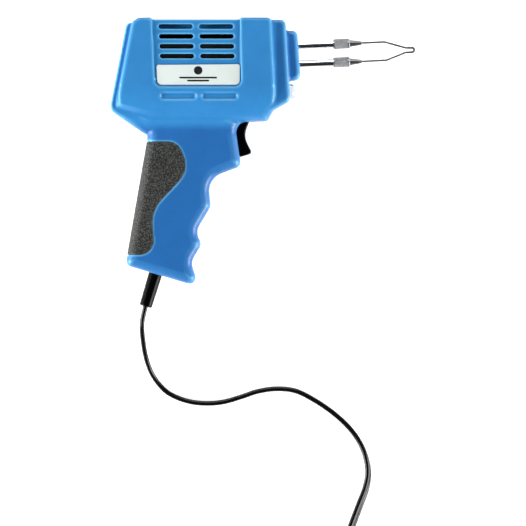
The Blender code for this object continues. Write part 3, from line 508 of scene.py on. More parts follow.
housingShape = {
    # x, y and corner radius, against the clock
    "body": [(-70.0, 19.0, 3.0), (-20.0, 18.4, 3.0), (2.8, 19.2, 2.8), (8.0, 29.0, 5.0),
             (5.15, 84.6, 2.6), (-78.9, 84.6, 2.6), (-83.0, 82.0, 2.6), (-93.6, 27.6, 4.0)],
    "spine": [(-70.0, 12.0, 3.0), (-70.0, 81.2, 3.0), (-86.7, 81.2, 2.6), (-97.4, 26.1, 5.0),
              (-75.0, 10.9, 2.6)],
    "step": [(-10.0, 25.4, 2.6), (5.0, 25.4, 2.6), (17.1, 32.1, 4.5), (14.2, 83.2, 3.2),
             (-10.0, 83.2, 2.6)],
    "nose": [(5.0, 44.8, 2.4), (23.9, 44.8, 4.2), (21.7, 76.5, 3.6), (5.0, 76.5, 2.4)],
    "neck": [(-73.6, 2.0, 0.0), (-17.5, 2.0, 0.0), (-19.4, 24.0, 0.0), (-82.0, 24.0, 0.0),
             (-73.4, 10.0, 0.0)],
    "panel": [(-68.4, 41.1, 4.0), (-13.9, 41.1, 4.0), (-15.0, 92.0, 1.0), (-70.8, 92.0, 1.0)],
    # each slab's half width and rim radius
    "slabs": {"body": (bodyHalf, 1.9), "neck": (bodyHalf, 1.0), "spine": (23.0, 0.9),
              "step": (26.5, 2.0), "nose": (15.0, 2.4)},
    "wall": 2.4, "gripWall": 3.8, "fillet": 1.2,
    "slopeTop": 33.2, "slopeFoot": 15.2, "slopeBlend": 6.0, "neckBlend": 1.6, "gripBlend": 1.6,
    # how far the slope is let out, and its blend, where it cuts the spine and the step
    "slopeCuts": {"spine": (0.6, 3.0), "step": (0.8, 2.0)},
    "panelDepth": 1.3, "panelRim": 1.3, "blindDepth": 1.2, "blindRim": 1.7, "seamRim": 0.35,
}
gripShape = {
    "outline": [(-87.3, -72.3, 3.6), (-40.3, -86.2, 4.0), (-45.9, -70.4, 9.0), (-38.9, -58.8, 5.0),
                (-43.1, -51.3, 9.0), (-33.3, -35.0, 5.0), (-35.2, -17.2, 12.0), (-14.0, -9.3, 3.8),
                (-18.3, 19.4, 8.0), (-5.0, 19.6, 1.0), (-5.0, 30.0, 3.6), (-69.5, 30.0, 3.6)],
    "pad": [(-95.0, -65.3, 2.0), (-69.6, -65.0, 8.0), (-71.2, -37.5, 22.0), (-47.5, -12.0, 14.0),
            (-54.5, 5.5, 9.0), (-85.0, 5.7, 2.0)],
    "half": 18.5, "edge": 5.8, "padProud": 0.5, "padDepth": 1.4, "gap": 0.3, "padLip": 0.7,
    "pocketRim": 0.25, "padSkin": 0.15, "padRim": 1.2,
}
ventShape = {"rows": [78.8, 72.6, 66.3, 60.1], "middles": [-55.4, -29.8], "drift": 0.3, "width": 2.8,
             "length": 21.6, "depth": 5.0, "rim": 0.8, "blindY": 34.9, "blindX": [-53.7, -27.6],
             "blindWidth": 3.1}
# x and y, and the heights of the boss's top, the hole's end on the right and the head's seat on the left
screwShape = {"places": [(-84.5, 41.0, 28.5, 15.0, 15.6), (-8.0, 78.6, 28.5, 15.0, 15.6),
                         (1.4, 26.6, 22.5, 15.0, 15.6), (-70.5, 24.0, 22.5, 15.0, 15.6),
                         (-48.5, -42.0, 17.0, 11.0, 11.1), (-52.0, -76.4, 17.0, 11.0, 11.1)],
              "boss": 4.2, "pilot": 1.8, "counterbore": 3.0, "seatThick": 1.0, "rim": 0.5}
tubeShape = {"x": 23.4, "y": {"upper": 67.3, "lower": 55.6}, "tilt": math.radians(2.2), "radius": 2.5,
             "back": 18.6, "bore": 1.6, "sleeveStart": 21.2, "sleeveEnd": 31.6, "sleeveRadius": 3.2,
             "inSleeve": 5.4, "sleeveGap": 0.3, "sleeveSides": 192, "jawLength": 7.6, "jawHole": 0.85,
             "jawTip": 1.3, "jawBase": 2.4, "jawSlot": 0.35, "jawBlend": 0.15,
             "bevel": 0.2, "sleeveBevel": 0.25}
knurlShape = {"margin": 0.9, "fade": 0.3, "teeth": 13, "pitch": 3.6, "deep": 0.26, "level": 0.75}
# a ledge behind the top slots, the trigger's pivot posts and the room round the trigger
shelfShape = {"middle": (-42.0, 79.4), "half": (25.5, 2.6), "height": 22.0, "halfThick": 1.1}
pivotShape = {"radius": 3.4, "from": 8.4, "to": 20.6, "bore": 1.8, "boreTo": 12.4}
triggerRoom = {"middle": (-16.5, 8.55), "half": (10.5, 13.45), "height": 8.1, "rim": 1.0}
lampHole = {"start": (8.0, 38.0), "radius": 5.1, "rim": 0.6}
holeShape = {"gap": 0.3, "deep": 8.0, "tubeRim": 0.5, "bootRim": 0.6}
bootShape = {"top": (-68.4, -77.9), "angle": math.radians(17.0), "length": 21.6, "radius": 4.5,
             "endRadius": 4.05, "collar": 6.2, "collarFrom": -6.4, "collarTo": -4.6, "bevel": 0.3,
             "bodyFrom": -4.4, "slack": 0.05, "endRound": 1.0}
pivot = np.array(next(j for j in frame["joints"] if j["name"] == "trigger_pull")["pos_m"]) / mm


def tubeAxis(which):
    t = tubeShape
    start = np.array([t["x"], t["y"][which], parting])
    return start, np.array([math.cos(t["tilt"]), math.sin(t["tilt"]), 0.0])


def bootAxis():
    b = bootShape
    return np.array([*b["top"], parting]), np.array([-math.sin(b["angle"]), -math.cos(b["angle"]), 0.0])


def planeGrid(xs, ys, zs, middle):
    # x and y in the plane, and the height away from a middle plane
    return *np.meshgrid(xs, ys, indexing="ij"), np.abs(zs - middle)


def flatField(corners, x, y):
    return segmentDistance(x, y, roundedPath(corners, 1.0, closed=True)[0][:-1])[..., None]


def slotField(x, y, middleX, middleY, width):
    reach = np.maximum(np.abs(x - middleX) - (ventShape["length"] - width) / 2, 0.0)
    return np.hypot(reach, y - middleY)[..., None] - width / 2


def oblongField(x, y, shape):
    return np.maximum(np.abs(x - shape["middle"][0]) - shape["half"][0],
                      np.abs(y - shape["middle"][1]) - shape["half"][1])[..., None]


def holeField(x, y, height, start, axis, radius, deep=0.0):
    # a round hole along an axis in the parting plane, from a depth behind its start
    along = (x - start[0]) * axis[0] + (y - start[1]) * axis[1]
    aside = (y - start[1]) * axis[0] - (x - start[0]) * axis[1]
    return np.maximum(np.hypot(aside[..., None], height) - radius, -(along[..., None] + deep))


def gripField(flat, height, proud=0.0):
    return slab(flat, height, gripShape["half"] + proud, gripShape["edge"] + proud)


def housingField(xs, ys, zs, fromLeft):
    # union of the slabs, cut by the slope, hollowed by the wall, then panel, vents, bores and bosses
    s, v = housingShape, ventShape
    x, y, height = planeGrid(xs, ys, zs, parting)
    slabs = {name: slab(flatField(s[name], x, y), height, *size) for name, size in s["slabs"].items()}
    grip = gripField(flatField(gripShape["outline"], x, y), height)
    run, fall = s["slopeTop"] - s["slopeFoot"], bodyHalf - gripShape["half"]
    slope = (height - gripShape["half"]) * run - (y[..., None] - s["slopeFoot"]) * fall
    slope /= math.hypot(run, fall)
    trunk = softMax(softMin(slabs["body"], slabs["neck"], s["neckBlend"]), slope, s["slopeBlend"])
    for name, (out, blend) in s["slopeCuts"].items():
        slabs[name] = softMax(slabs[name], slope + out, blend)
    for name in ("spine", "step", "nose"):
        trunk = softMin(trunk, slabs[name], s["fillet"])
    outer = softMin(trunk, grip, s["gripBlend"])
    room = np.minimum(trunk + s["wall"], grip + s["gripWall"])

    recess = np.maximum(flatField(s["panel"], x, y), -(slabs["body"] + s["panelDepth"]))
    form = softMax(outer, -recess, s["panelRim"])
    for row, middleY in enumerate(v["rows"]):
        for middleX in v["middles"]:
            slot = slotField(x, y, middleX + v["drift"] * row, middleY, v["width"])
            form = softMax(form, -np.maximum(slot, -(slabs["body"] + v["depth"])), v["rim"])
    for middleX in v["blindX"]:
        slot = slotField(x, y, middleX, v["blindY"], v["blindWidth"])
        form = softMax(form, -np.maximum(slot, -(trunk + s["blindDepth"])), s["blindRim"])

    pad = flatField(gripShape["pad"], x, y) - gripShape["gap"]
    pocket = np.maximum(pad, -(grip + gripShape["padDepth"] + gripShape["gap"]))
    form = softMax(form, -pocket, gripShape["pocketRim"])
    shell = np.maximum(form, -room)

    shelf = np.maximum(oblongField(x, y, shelfShape),
                       np.abs(height - shelfShape["height"]) - shelfShape["halfThick"])
    shell = np.minimum(shell, shelf)
    p = pivotShape
    post = np.hypot(x - pivot[0], y - pivot[1])[..., None]
    post3 = np.maximum(np.maximum(post - p["radius"], p["from"] - height), height - p["to"])
    shell = np.minimum(shell, np.maximum(post3, outer))
    shell = np.maximum(shell, -np.maximum(post - p["bore"], height - p["boreTo"]))
    screw = screwShape
    for screwX, screwY, top, end, seat in screw["places"]:
        away = np.hypot(x - screwX, y - screwY)[..., None]
        shell = np.minimum(shell, np.maximum(np.maximum(away - screw["boss"], height - top), outer))
        end = seat + screw["seatThick"] if fromLeft else end
        shell = np.maximum(shell, -np.maximum(away - screw["pilot"], height - end))
        if fromLeft:
            shell = softMax(shell, -np.maximum(away - screw["counterbore"], seat - height), screw["rim"])

    room = np.maximum(oblongField(x, y, triggerRoom), height - triggerRoom["height"])
    shell = softMax(shell, -room, triggerRoom["rim"])
    h = holeShape
    for which in tubeShape["y"]:
        hole = holeField(x, y, height, *tubeAxis(which), tubeShape["radius"] + h["gap"], h["deep"])
        shell = softMax(shell, -hole, h["tubeRim"])
    hole = holeField(x, y, height, lampHole["start"], (1.0, 0.0), lampHole["radius"])
    shell = softMax(shell, -hole, lampHole["rim"])
    hole = holeField(x, y, height, *bootAxis(), bootShape["radius"] + h["gap"], h["deep"])
    shell = softMax(shell, -hole, h["bootRim"])
    return softMax(shell, seamHigh - zs, s["seamRim"])


def mirrored(points, faces):
    # the left shell is the right one turned over in the parting plane
    points = points.copy()
    points[:, 2] = 2 * parting - points[:, 2]
    return points, [part[:, ::-1] for part in faces]


def makeHousing():
    xs = graded([(-99.5, 0.0), (25.5, 0.82)])
    ys = graded([(-88.5, 0.0), (31.0, 0.86), (40.0, 0.6), (57.0, 0.8), (86.0, 0.5)])
    zs = graded([(seamHigh - 0.75, 0.0), (seamHigh + 1.0, 0.25), (41.0, 1.6), (57.0, 0.8), (60.9, 0.35)])
    for side in ("right", "left"):
        field = housingField(xs, ys, zs, side == "left")
        points, faces = surfaceFrom(field, xs, ys, zs)
        if side == "left":
            points, faces = mirrored(points, faces)
        shell = addPiece("shell_" + side, points, faces, "blueShell", "gun", sharp=50.0)
        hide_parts("housing_" + side)
        print("shell", side, len(faces[0]), "faces")


def makePads():
    xs = graded([(-97.5, 0.0), (-43.0, 0.6)])
    ys = graded([(-68.5, 0.0), (8.5, 0.6)])
    zs = graded([(seamHigh - 0.8, 0.0), (seamHigh + 0.8, 0.4), (42.0, 1.2), (49.9, 0.45)])
    g = gripShape
    x, y, height = planeGrid(xs, ys, zs, parting)
    flat = flatField(g["outline"], x, y)
    skin = gripField(flat - g["padSkin"], height, g["padProud"])
    field = softMax(flatField(g["pad"], x, y) - g["padLip"], skin, g["padRim"])
    field = np.maximum(field, -(gripField(flat, height) + g["padDepth"]))
    field = np.maximum(field, seamHigh - zs)
    points, faces = surfaceFrom(field, xs, ys, zs)
    pad = addPiece("pad_right", points, faces, "softPad", "gun", sharp=50.0)
    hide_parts("grip_pad_right")
    points, faces = mirrored(points, faces)
    pad = addPiece("pad_left", points, faces, "softPad", "gun", sharp=50.0)
    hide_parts("grip_pad_left")
    print("pads made,", len(faces[0]), "faces each")


makeHousing()
makePads()


# ---- label with a plain emblem

labelShape = {"corners": [(-66.9, 42.0, 2.8), (-14.8, 42.0, 2.8), (-14.8, 54.9, 1.4), (-67.6, 54.5, 1.4)],
              "thick": 0.3, "edge": 0.1, "ink": 0.03, "disc": 2.7, "discRise": 2.6,
              # each bar's drop below the middle and half length
              "bars": ((-2.0, 12.0), (-3.9, 7.0)), "barHalf": 0.55, "barRound": 0.5}


def plateRings(outline, low, high, edge):
    # a convex outline at rising heights, drawn in towards its middle at both rims
    middle = outline.mean(axis=0)
    away = outline - middle
    shrink = 1.0 - edge / np.linalg.norm(away, axis=1).min()
    rows = []
    for z, part in ((low, shrink), (low + edge, 1.0), (high - edge, 1.0), (high, shrink)):
        rows.append(np.column_stack([middle + away * part, np.full(len(outline), z)]))
    return np.array(rows)


def makeLabels():
    b = labelShape
    for side in ("right", "left"):
        low, high = boxOf("label_" + side)
        outline = roundedPath(b["corners"], 0.5, closed=True)[1][:-1]
        base = low[2] if side == "right" else high[2] - b["thick"]
        points, faces = ringSurface(plateRings(outline, base, base + b["thick"], b["edge"]))
        plate = addPiece("badge_" + side, points, faces, "label", "gun")
        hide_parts("label_" + side)
        middle = (low + high) / 2
        angle = circle(48)
        bars = [np.stack([middle[0] + b["disc"] * np.cos(angle),
                          middle[1] + b["discRise"] + b["disc"] * np.sin(angle)], axis=1)]
        for drop, halfLength in b["bars"]:
            corners = [(middle[0] + across * halfLength, middle[1] + drop + rise * b["barHalf"],
                        b["barRound"]) for across, rise in ((-1, -1), (1, -1), (1, 1), (-1, 1))]
            bars.append(roundedPath(corners, 0.4, closed=True)[1][:-1])
        face = base + b["thick"] if side == "right" else base
        ink = b["ink"]
        surfaces = [ringSurface(plateRings(bar, face - ink, face + ink, ink / 3)) for bar in bars]
        addPiece("emblem_" + side, *joined(surfaces), "ink", "gun")
    print("labels made")


makeLabels()


# ---- painted shade: a dark card behind the lower vents, standing for the shade inside the housing

shadeCardShape = {"corners": [(-68.5, 56.8, 2.0), (-16.5, 56.8, 2.0), (-17.0, 80.6, 2.0), (-69.0, 80.6, 2.0)],
             "low": 5.4, "thick": 0.7, "edge": 0.15}


def makeCard():
    c = shadeCardShape
    outline = roundedPath(c["corners"], 0.5, closed=True)[1][:-1]
    points, faces = ringSurface(plateRings(outline, c["low"], c["low"] + c["thick"], c["edge"]))
    addPiece("vent_shade_card", points, faces, "shadedBobbin", "gun")


makeCard()
print("card made")


# ---- tubes, sleeves, jaws and tip

tipPath = {"corners": [(77.0, 69.5, 4.0), (90.6, 65.7, 4.0), (95.9, 65.8, 1.3), (95.9, 63.1, 1.3),
                       (90.4, 62.8, 4.0), (78.4, 57.9, 4.0)], "radius": 0.6, "flatFrom": 90.0,
           "flatOver": 4.0, "widen": 0.12, "thin": 0.25}


def knurl(along, angle):
    # two families of helical cuts that cross, fading out at both rims of the sleeve
    t, k = tubeShape, knurlShape
    inward = np.minimum(along - t["sleeveStart"], t["sleeveEnd"] - along) - k["margin"]
    fade = clipped(inward / k["fade"])
    one = np.abs(np.sin(k["teeth"] * angle + k["pitch"] * along))
    two = np.abs(np.sin(k["teeth"] * angle - k["pitch"] * along))
    return k["deep"] * fade * (np.minimum(one, two) - k["level"])


def makeTubes():
    t = tubeShape
    sleeveStart, sleeveEnd, radius = t["sleeveStart"], t["sleeveEnd"], t["radius"]
    tubeEnd = sleeveStart + t["inSleeve"]
    for which in t["y"]:
        start, axis = tubeAxis(which)
        back, bevel = -t["back"], t["bevel"]
        profile = [(back, t["bore"]), (back, radius - bevel), (back + bevel, radius),
                   (tubeEnd - bevel, radius), (tubeEnd, radius - bevel), (tubeEnd, t["bore"])]
        rings = turnedRings(profile, start, axis)
        tube = addPiece("electrode_" + which, *loopSurface(rings), "chrome", "gun")
        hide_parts("electrode_tube_" + which)

        inner, outer = radius + t["sleeveGap"], t["sleeveRadius"]
        rim = outer - t["sleeveBevel"]
        profile = [(sleeveEnd, inner), (sleeveStart, inner), (sleeveStart, rim)]
        profile += [(along, outer) for along in np.linspace(sleeveStart + 0.35, sleeveEnd - 0.35, 110)]
        profile += [(sleeveEnd, rim)]
        rings = turnedRings(profile, start, axis, t["sleeveSides"], knurl)
        sleeve = addPiece("sleeve_" + which, *loopSurface(rings), "knurledSteel", "sleeve_" + which,
                          sharp=60.0)
        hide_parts("clamp_sleeve_" + which)

        jawTip = sleeveEnd + t["jawLength"]
        along = np.arange(sleeveStart + 0.4, jawTip + 0.7, 0.22)
        aside = np.arange(-2.7, 2.71, 0.18)
        s, v, w = np.meshgrid(along, aside, aside, indexing="ij")
        hole, tip, base = t["jawHole"], t["jawTip"], t["jawBase"]
        jawStart, jawStep = sleeveStart + 1.0, tubeEnd + t["sleeveGap"]
        outline = np.array([(jawStart, hole), (jawTip, hole), (jawTip, tip), (sleeveEnd, base),
                            (jawStep, base), (jawStep, tip), (jawStart, tip)])
        field = segmentDistance(s, np.hypot(v, w), outline)
        field = softMax(field, -np.maximum(np.abs(w) - t["jawSlot"], sleeveEnd - 2.0 - s), t["jawBlend"])
        points, faces = surfaceFrom(field, along, aside, aside)
        across = np.array([-axis[1], axis[0], 0.0])
        points = start + points[:, :1] * axis + points[:, 1:2] * across + points[:, 2:] * (0.0, 0.0, 1.0)
        jaw = addPiece("jaw_" + which, points, faces, "knurledSteel", "gun", sharp=50.0)
        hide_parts("collet_jaw_" + which)


def makeTip():
    # an ellipse carried along the bent wire, wider and thinner at the working end
    near = tubeShape["sleeveEnd"] - 1.5
    far = tubeShape["sleeveEnd"] + tubeShape["jawLength"] + 1.5
    ends = {}
    for which in tubeShape["y"]:
        start, axis = tubeAxis(which)
        ends[which] = [start + axis * near, start + axis * far]
    corners = [(*ends["upper"][0][:2], 0.0), (*ends["upper"][1][:2], 4.0), *tipPath["corners"],
               (*ends["lower"][1][:2], 4.0), (*ends["lower"][0][:2], 0.0)]
    flat = roundedPath(corners, 0.3)[1]
    path = np.column_stack([flat, np.full(len(flat), parting)])
    angle = circle(24)
    flatness = clipped((path[:, 0] - tipPath["flatFrom"]) / tipPath["flatOver"])[:, None]
    wide = tipPath["radius"] * (1.0 + tipPath["widen"] * flatness)
    high = tipPath["radius"] * (1.0 - tipPath["thin"] * flatness)
    section = np.stack([wide * np.cos(angle), high * np.sin(angle)], axis=-1)
    tip = addPiece("tip", *ringSurface(sweptRings(path, section)), "tipMetal", "tip")
    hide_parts("tip_wire")


makeTubes()
makeTip()
print("tubes and tip made")


# ---- lamp

lampShape = {"y": 38.0, "front": 21.7, "radius": 4.7, "back": 11.3, "wall": 0.45,
             "rimRadius": 3.2, "neckRadius": 3.4, "shoulder": 0.25}
filamentShape = {"x": 16.2, "coil": 0.22, "turns": 9, "span": 2.4, "wire": 0.05, "post": 0.16,
                 "postFrom": 11.0}


def makeLamp():
    s = lampShape
    axis = np.array([1.0, 0.0, 0.0])
    centre = np.array([0.0, s["y"], parting])
    swing = np.linspace(0.0, math.pi / 2 - 0.03, 24)
    shells = []
    for inset in (0.0, s["wall"]):
        radius = s["radius"] - inset
        dome = np.column_stack([s["front"] - s["radius"] + radius * np.sin(swing), radius * np.cos(swing)])
        neck = [(s["back"] + inset, s["rimRadius"] - inset),
                (s["back"] + 0.5 + inset, s["neckRadius"] - inset),
                (s["back"] + 1.6, radius - s["shoulder"]), (s["back"] + 2.6, radius)]
        shells.append(ringSurface(turnedRings(np.vstack([neck, dome]), centre, axis, 48)))
    inner = (shells[1][0], [part[:, ::-1] for part in shells[1][1]])
    bulb = addPiece("bulb_glass", *joined([shells[0], inner]), "glass", "gun")
    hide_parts("lamp_bulb")
    f = filamentShape
    turn = np.linspace(0.0, 1.0, 160)
    wound = turn * 2 * np.pi * f["turns"]
    coil = np.stack([f["x"] + f["coil"] * np.cos(wound), s["y"] + f["span"] * (turn - 0.5),
                     parting + f["coil"] * np.sin(wound)], axis=1)
    angle = circle(8)
    thin = np.stack([np.cos(angle), np.sin(angle)], axis=-1)
    wires = [ringSurface(sweptRings(coil, f["wire"] * thin))]
    for side in (-0.5, 0.5):
        post = np.stack([np.linspace(f["postFrom"], f["x"], 12), np.full(12, s["y"] + side * f["span"]),
                         np.full(12, parting)], axis=1)
        wires.append(ringSurface(sweptRings(post, f["post"] * thin)))
    addPiece("bulb_filament", *joined(wires), "steel", "gun")


makeLamp()
print("lamp made")


# ---- trigger

triggerShape = {"outline": [(-21.4, -2.6, 2.6), (-15.4, -4.0, 3.0), (-6.9, -1.3, 1.6), (-12.4, 9.6, 12.0),
                            (-8.9, 18.6, 2.0), (-9.0, 25.4, 3.4), (-18.8, 25.4, 3.4), (-22.2, 8.0, 3.0)],
                "edge": 1.5, "pinHole": 1.8}


def makeTrigger():
    low, high = boxOf("trigger")
    xs, ys, zs = (np.arange(low[k] - 1.0, high[k] + 1.0, 0.34) for k in range(3))
    x, y, height = planeGrid(xs, ys, zs, parting)
    flat = flatField(triggerShape["outline"], x, y)
    field = slab(flat, height, (high[2] - low[2]) / 2, triggerShape["edge"])
    hole = np.hypot(x - pivot[0], y - pivot[1])[..., None] - triggerShape["pinHole"]
    surface = surfaceFrom(np.maximum(field, -hole), xs, ys, zs)
    trigger = addPiece("trigger_lever", *surface, "blackPlastic", "trigger", sharp=50.0)
    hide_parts("trigger")


plungerShape = {"headLength": 3.7, "cap": 0.4, "rim": 3.8, "cupRadius": 3.5, "stem": 2.0}


def makePlunger():
    # a stem with a cup for a head: the cup takes in the spring as the plunger goes back
    p = plungerShape
    low, high = boxOf("switch_plunger")
    length = high[0] - low[0]
    start = np.array([high[0], (low[1] + high[1]) / 2, parting])
    profile = [(0.0, p["rim"] - 0.6), (0.12, p["rim"] - 0.2), (0.4, p["rim"]),
               (p["headLength"] - 0.1, p["rim"]), (p["headLength"], p["rim"] - 0.1),
               (p["headLength"], p["cupRadius"]),
               (p["cap"], p["cupRadius"]), (p["cap"], p["stem"]), (length - 0.2, p["stem"]),
               (length, p["stem"] - 0.2)]
    rings = turnedRings(profile, start, (-1.0, 0.0, 0.0), 48)
    plunger = addPiece("plunger_cup", *ringSurface(rings), "bobbin", "plunger")
    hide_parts("switch_plunger")


makeTrigger()
makePlunger()
print("trigger and plunger made")


# ---- mains lead: boot, flat twin cord, coil and plug

cordShape = {
    "wide": 5.2, "thick": 3.2, "length": 1.5, "rest": 2.75,
    # the route from the boot: points that come down to the table, then x and y along it
    "route": [(-74.9, -99.3, 30.0), (-76.9, -109.2, 27.6), (-76.4, -119.8, 21.2), (-74.4, -131.5, 12.9),
              (-70.4, -142.0, 6.4)],
    "onTable": [(-63.2, -151.4), (-55.4, -156.3), (-45.6, -159.4), (-35.1, -160.3), (-24.4, -159.2),
                (-12.7, -155.7), (-3.3, -152.6), (8.4, -151.0), (20.1, -152.2), (30.9, -157.2),
                (43.4, -165.4), (54.0, -174.9), (61.1, -184.4), (65.3, -194.2), (66.9, -204.3),
                (65.4, -214.2), (61.4, -225.2), (56.4, -238.4), (48.7, -259.5), (41.2, -280.2)],
    "coilMiddle": (0.0, -287.0), "coilOuter": 36.4, "coilInner": 20.8, "coilFrom": -20.0, "turns": 3.0,
    "stepTurn": 70.0 / 360.0, "upper": 7.95, "plugAt": -46.0, "plugZ": 6.85,
    "twist": 55.0, "twistFrom": -186.0, "twistOver": 45.0, "twistTo": -277.0, "untwistOver": 25.0,
    "groove": 0.16, "grooveWide": 0.45, "stations": 1.6, "inBoot": 6.0,
}
plugShape = {"outline": [(-0.5, 4.0, 2.6), (-9.0, 5.2, 3.0), (-17.0, 17.6, 5.0), (-36.0, 17.6, 3.0)],
             "edge": 3.0, "spacing": 18.6, "pin": 2.0, "pinLength": 19.0, "pinRoot": 3.0,
             "sleeved": (0.52, 0.53), "waistFrom": -20.0, "waistOver": 12.0, "waist": 1.9, "ridge": 0.35,
             "ridges": 2.2}


tailY = cordShape["coilMiddle"][1] - cordShape["coilOuter"]


def smoothPath(points, spacing):
    # a Catmull-Rom curve through the points, cut into even steps
    anchors = np.array(points, float)
    anchors = np.vstack([2 * anchors[0] - anchors[1], anchors, 2 * anchors[-1] - anchors[-2]])
    a, b, c, d = (anchors[k:len(anchors) - 3 + k, None, :] for k in range(4))
    t = np.linspace(0.0, 1.0, 24, endpoint=False)[None, :, None]
    dense = 0.5 * (2 * b + (c - a) * t + (2 * a - 5 * b + 4 * c - d) * t ** 2
                   + (3 * b - a - 3 * c + d) * t ** 3)
    return evenPoints(np.vstack([dense.reshape(-1, 3), anchors[-2]]), spacing, 0.0)


def cordPath():
    # the free run, a flat spiral inwards, a step up, a spiral outwards on it, and the plug's run
    c = cordShape
    allTurns = 2 * c["turns"] + c["stepTurn"]
    turn = np.append(np.arange(0.0, allTurns, 1.0 / 30.0), allTurns)
    inwards = clipped(turn / c["turns"])
    outwards = clipped((turn - c["turns"] - c["stepTurn"]) / c["turns"])
    radius = c["coilOuter"] + (c["coilInner"] - c["coilOuter"]) * (inwards - outwards)
    lift = clipped((turn - c["turns"]) / c["stepTurn"])
    height = c["rest"] + (c["upper"] - c["rest"]) * lift * lift * (3.0 - 2.0 * lift)
    angle = math.radians(c["coilFrom"]) - 2 * np.pi * turn
    middleX, middleY = c["coilMiddle"]
    coil = np.stack([middleX + radius * np.cos(angle), middleY + radius * np.sin(angle), height], axis=1)
    tail = [(-12.0, tailY, c["upper"]), (-24.0, tailY, c["upper"] - 0.2), (-36.0, tailY, c["plugZ"] + 0.2),
            (c["plugAt"] - 3.0, tailY, c["plugZ"])]
    start, axis = bootAxis()
    first = start + axis * (bootShape["length"] - c["inBoot"])
    onTable = [(x, y, c["rest"]) for x, y in c["onTable"]]
    path = smoothPath(np.vstack([first, c["route"], onTable, coil, tail]), c["stations"])
    path[:, 2] = np.maximum(path[:, 2], c["rest"])
    return path


def twinSection():
    # two round cores side by side with their insulation joined by a narrow web
    c = cordShape
    angle = circle(40)
    tall = c["wide"] / 2 * np.sin(angle)
    core = c["thick"] / 2
    offset = c["wide"] / 2 - core
    lobe = np.sqrt(np.maximum(core ** 2 - (np.abs(tall) - offset) ** 2, 0.0))
    groove = 1.0 - c["groove"] * np.exp(-(tall / c["grooveWide"]) ** 2)
    width = np.where(np.abs(tall) > offset, lobe, core) * groove
    return np.stack([np.sign(np.cos(angle)) * width, tall], axis=-1)


def makeBoot():
    b = bootShape
    part = np.linspace(0.0, 1.0, 30)
    first, last, end = b["radius"] - b["slack"], b["endRadius"], b["length"] - b["endRound"]
    body = np.column_stack([b["bodyFrom"] + (end - b["bodyFrom"]) * part, first + (last - first) * part])
    swing = np.linspace(0.1, math.pi / 2, 8)
    nose = b["endRound"] * np.column_stack([np.sin(swing), np.cos(swing)]) + (end, last - b["endRound"])
    rim = b["collar"] - b["bevel"]
    profile = np.vstack([[(b["collarFrom"], rim), (b["collarFrom"] + b["bevel"], b["collar"]),
                          (b["collarTo"] - b["bevel"], b["collar"]), (b["collarTo"], rim)], body, nose])
    boot = addPiece("boot", *ringSurface(turnedRings(profile, *bootAxis())), "blackPlastic", "gun")
    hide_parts("strain_relief")
    return boot


def makePlug():
    c, p = cordShape, plugShape
    low, high = boxOf("plug_body")
    corners = [(c["plugAt"] + x, tailY + y, r) for x, y, r in p["outline"]]
    corners += [(c["plugAt"] + x, tailY - y, r) for x, y, r in reversed(p["outline"])]
    corners.reverse()
    xs, ys, zs = (np.arange(low[k] - 1.5, high[k] + 1.5, 0.55) for k in range(3))
    x, y, height = planeGrid(xs, ys, zs, c["plugZ"])
    # thinner towards the cord, with finger ridges across its waist
    waist = clipped((x - c["plugAt"] - p["waistFrom"]) / p["waistOver"])
    ridges = p["ridge"] * clipped(np.sin((x - c["plugAt"]) * p["ridges"])) * waist
    drawnIn = (p["waist"] * waist + ridges)[..., None]
    form = slab(flatField(corners, x, y), height + drawnIn, (high[2] - low[2]) / 2, p["edge"])
    plug = addPiece("plug", *surfaceFrom(form, xs, ys, zs), "blackPlastic", "gun", sharp=50.0)
    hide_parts("plug_body")
    pins = []
    end, thin = p["pinLength"], p["pin"] - 0.12
    profile = [(-p["pinRoot"], p["pin"]), (0.0, p["pin"]), (end * p["sleeved"][0], p["pin"]),
               (end * p["sleeved"][1], thin), (end - 1.3, thin), (end - 0.4, p["pin"] - 0.7), (end, 0.5)]
    for name, side in (("left", -1.0), ("right", 1.0)):
        start = np.array([c["plugAt"] + p["outline"][-1][0], tailY + side * p["spacing"] / 2, c["plugZ"]])
        pin = addPiece("pin_" + name, *ringSurface(turnedRings(profile, start, (-1.0, 0.0, 0.0), 40)),
                       "chrome", "gun")
        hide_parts("plug_pin_" + name)
        pins.append(pin)
    return [plug] + pins


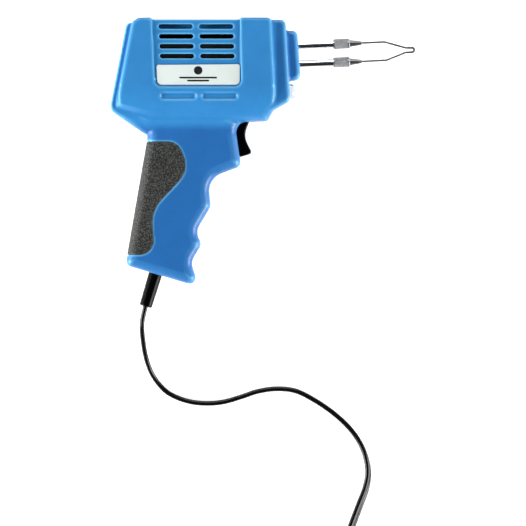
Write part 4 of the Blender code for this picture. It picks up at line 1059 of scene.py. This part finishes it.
def makeCord():
    # the twin cord leans over between the bend and the coil
    path = cordPath()
    c = cordShape
    free = np.arange(len(path)) < np.argmax(path[:, 1] < c["coilMiddle"][1] + 6.0)
    lie = clipped((c["twistFrom"] - path[:, 1]) / c["twistOver"])
    lie *= clipped((path[:, 1] - c["twistTo"]) / c["untwistOver"])
    twist = -math.radians(c["twist"]) * lie * lie * (3.0 - 2.0 * lie) * free
    cord = addPiece("mains_lead", *ringSurface(sweptRings(path, twinSection(), twist)), "cordRubber", "gun",
                    sharp=60.0)
    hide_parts("mains_cord", "cord_coil", "cord_tail")
    boot = makeBoot()
    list(makePlug())
    print("cord", round(float(np.linalg.norm(np.diff(path, axis=0), axis=1).sum()) * mm, 3), "m")


makeCord()


# ---- finishes of the frame's own nodes

nodeFinishes = {
    "steel": [*("housing_screw_" + str(k) for k in range(1, 7)), "trigger_pin", "switch_spring",
              "cord_clamp_screw_1", "cord_clamp_screw_2"],
    "coreSteel": ["core_limbs", "core_keeper", "core_bolt_1", "core_bolt_2"],
    "copper": ["primary_winding", "secondary_loop"],
    "bobbin": ["lamp_holder", "cord_clamp"],
    "shadedBobbin": ["bobbin"],
    "phenolic": ["tube_spacer"],
    "brass": ["lamp_base"],
    "blackPlastic": ["switch_body"],
    "cordRubber": ["cord_inner_end", "live_lead", "return_lead", "switched_lead"],
}
for finish, names in nodeFinishes.items():
    for name in names:
        node = frame["nodes"][name]
        node.data.materials.clear()
        node.data.materials.append(materials[finish])


def addTable():
    half = tableLook["half"] * mm
    mesh = bpy.data.meshes.new("table")
    mesh.from_pydata([(-half, -half, 0.0), (half, -half, 0.0), (half, half, 0.0), (-half, half, 0.0)], [],
                     [(0, 1, 2, 3)])
    finish = bpy.data.materials.new("table")
    finish.use_nodes = True
    shader = finish.node_tree.nodes["Principled BSDF"]
    shader.inputs["Base Color"].default_value = (*tableLook["colour"], 1.0)
    shader.inputs["Roughness"].default_value = tableLook["rough"]
    shader.inputs["Emission Color"].default_value = (1.0, 1.0, 1.0, 1.0)
    shader.inputs["Emission Strength"].default_value = tableLook["glow"]
    mesh.materials.append(finish)
    table = bpy.data.objects.new("table", mesh)
    bpy.context.scene.collection.objects.link(table)


addTable()
print("scene ready")
